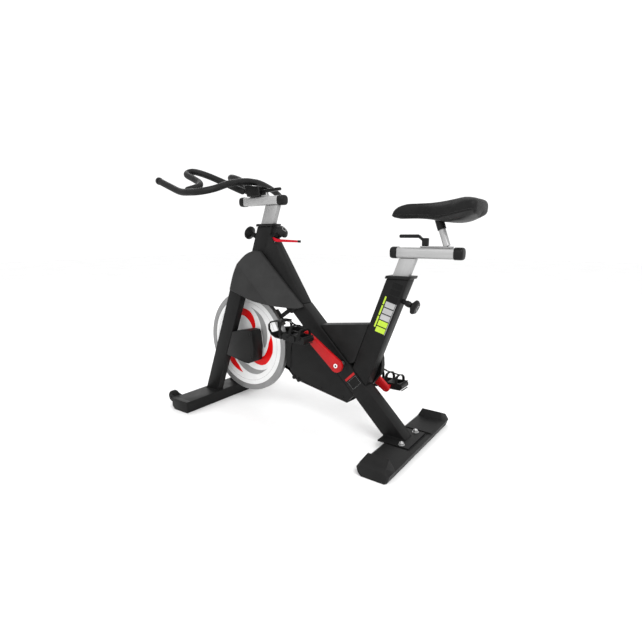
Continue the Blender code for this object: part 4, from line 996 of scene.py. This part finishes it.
def make_seat_tube_print(finishes):
    """Slanted blocks down each side of the seat tube: black, then silver, then lime."""
    along = Vector((math.sin(SEAT_LEAN), -math.cos(SEAT_LEAN)))
    across = Vector((math.cos(SEAT_LEAN), math.sin(SEAT_LEAN)))
    corner = Vector((0.0798, 0.5944))
    blocks = {"print_black": [], "print_silver": [], "print_lime": []}

    def block(kind, start, end, left, right, slant=0.0):
        spots = ((start, left), (start + slant, right), (end + slant, right), (end, left))
        blocks[kind].append([tuple(corner + along * s + across * a) for s, a in spots])

    for k, kind in enumerate(["print_black"] * 3 + ["print_silver"] * 3 + ["print_lime"] * 2):
        start = 0.002 + k * 0.0245
        block(kind, start, start + 0.0205, 0.0000, 0.0370, 0.0035)
    for start, end in ((0.064, 0.094), (0.098, 0.136), (0.140, 0.184)):
        block("print_lime", start, end, 0.0410, 0.0470)
    block("print_silver", 0.074, 0.196, -0.0035, -0.0020)
    for side, sign in SIDES.items():
        face = sign * TUBE_FACE
        for kind, outlines in blocks.items():
            shape = Shape()
            for outline in outlines:
                shape.slab(outline, face - sign * 0.0003, face + sign * PRINT_PROUD)
            shape.place(f"tube_{kind}_{side}", finishes[kind], "frame", "frame_paint", 40)


def make_spine_label(finishes):
    """A plain red bar over a black plate with a thin border."""
    y0, y1 = 0.0297, 0.03030
    bar = [(0.3075, 0.2150), (0.3010, 0.2085), (0.2630, 0.2455), (0.2695, 0.2520)]
    Shape().slab(bar, y0, y1).place("label_bar", finishes["crank_red"], "frame", "crank_red", 40)
    plate = [(0.2985, 0.2075), (0.2605, 0.2445), (0.2325, 0.2160), (0.2705, 0.1795)]
    Shape().slab(plate, y0, y1).place("label_plate", finishes["print_black"], "frame", "black_plastic", 40)
    middle = Vector(np.mean(plate, axis=0))
    border = [middle + (Vector(point) - middle) * 0.86 for point in plate]
    frame = Shape().sweep([(x, y1, z) for x, z in border], circle(0.0004, 6), closed=True)
    frame.place("label_border", finishes["print_grey"], "frame", "black_plastic", 60)


def make_knob_trim(finishes):
    """Grip ribs and a ring inlay on each knob's cap, its silver a painted highlight, and the dipped tip of
    the red lever.
    """
    rise = math.radians(38)
    # Each knob's foot, its axis, its radius, and how far along the axis its ribs and its top are
    knobs = {
        "seat_pin": ((0.0921, 0.534), (-math.cos(SEAT_LEAN), -math.sin(SEAT_LEAN)), 0.0250, 0.0470, 0.0600),
        "head_pin": ((0.7666, 0.752), (math.cos(HEAD_LEAN), math.sin(HEAD_LEAN)), 0.0280, 0.0530, 0.0660),
        "resistance_knob": ((0.6688, 0.748), (-math.cos(rise), math.sin(rise)), 0.0275, 0.0410, 0.0585),
    }
    for body, (at, heading, radius, high, top) in knobs.items():
        foot, axis = Vector((at[0], 0, at[1])), Vector((heading[0], 0, heading[1]))
        side = Vector((0, 1, 0))
        other = axis.cross(side)
        ribs = Shape()
        for k in range(24):
            angle = 2 * math.pi * k / 24
            spoke = side * math.cos(angle) + other * math.sin(angle)
            spot = foot + spoke * (radius - 0.0004) + axis * high
            ribs.rod([spot - axis * 0.0026, spot + axis * 0.0026], 0.0011, 6)
        ribs.place(body + "_ribs", finishes["black_plastic"], body, "black_plastic", 50)
        # A ring inlay on the cap, coloured silver as a painted highlight on the knob's top.
        inlay_painted_highlight = Shape()
        inlay_painted_highlight.ring(0.0085, 0.0098, -0.0006, 0.0006, foot + axis * (top - 0.0012), axis, 36)
        inlay_painted_highlight.place(body + "_inlay", finishes["print_silver"], body, "black_plastic", 40)
    tip = Shape()
    tip.slab([(0.5285, 0.7309), (0.5390, 0.7312), (0.5390, 0.7404), (0.5285, 0.7404)], 0.0128, 0.0202)
    tip.place("lever_tip", finishes["black_plastic"], "brake_lever", "black_plastic", 40)


# ---------------------------------------------------------------- studio


def make_floor():
    finish = coated("studio_floor", grey(0.86), grey(0.90), (0.75, 0.85), 40, 0.0002, 2.0)
    mesh = bpy.data.meshes.new("floor")
    mesh.from_pydata([(x, y, 0) for x, y in oblong(14.0, 14.0)], [], [(0, 1, 2, 3)])
    mesh.materials.append(finish.material)
    floor = bpy.data.objects.new("floor", mesh)
    bpy.context.collection.objects.link(floor)
    floor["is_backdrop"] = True


def make_light(name, place, target, size, power):
    data = bpy.data.lights.new(name, "AREA")
    data.shape, data.size, data.size_y, data.energy = "RECTANGLE", *size, power
    lamp = bpy.data.objects.new(name, data)
    lamp.location = place
    lamp.rotation_euler = (Vector(target) - Vector(place)).to_track_quat("-Z", "Y").to_euler()
    bpy.context.collection.objects.link(lamp)


def make_studio():
    world = bpy.data.worlds.new("studio")
    world.use_nodes = True
    sky = world.node_tree.nodes["Background"]
    sky.inputs["Color"].default_value = (1.0, 1.0, 1.0, 1.0)
    sky.inputs["Strength"].default_value = 1.12
    bpy.context.scene.world = world
    bpy.context.scene.view_settings.view_transform = "Standard"
    make_light("key", (-2.2, 1.3, 2.6), (0, 0, 0.5), (2.0, 1.6), 62)
    make_light("side_fill", (0.4, 3.0, 2.2), (0, 0, 0.5), (1.8, 1.8), 16)
    make_light("front_fill", (2.6, -1.6, 2.2), (0, 0, 0.5), (2.0, 2.0), 30)


def make_camera():
    data = bpy.data.cameras.new("camera")
    data.sensor_width, data.lens, data.clip_start = 36.0, 24.33, 0.02
    camera = bpy.data.objects.new("camera", data)
    camera.location = (-1.01339, 1.38214, 0.75807)
    camera.rotation_euler = Vector((0.5666, -0.8010, -0.1930)).to_track_quat("-Z", "Y").to_euler()
    bpy.context.collection.objects.link(camera)
    bpy.context.scene.camera = camera


def corners(box):
    return [list(map(float, corner)) for corner in box]


def main():
    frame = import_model()
    cad_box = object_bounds()
    make_camera()
    make_studio()
    make_floor()
    finishes = make_finishes()
    finish_nodes(frame, finishes)
    make_handlebar(finishes)
    make_slider_caps(finishes)
    make_saddle(finishes)
    make_side_panels(finishes)
    make_foot_trim(finishes)
    make_casing_trim(finishes)
    make_fasteners(finishes)
    make_lever_grips(finishes)
    make_saddle_collar(finishes)
    make_head_plates(finishes)
    make_welds(finishes)
    for side in SIDES:
        make_pedal_edges(side, finishes)
        make_toe_straps(side, finishes)
        make_crank_cap(side, finishes)
    make_wheel_print(finishes)
    make_seat_tube_print(finishes)
    make_spine_label(finishes)
    make_knob_trim(finishes)
    {"cad": corners(cad_box), "visual": corners(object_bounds())}


main()
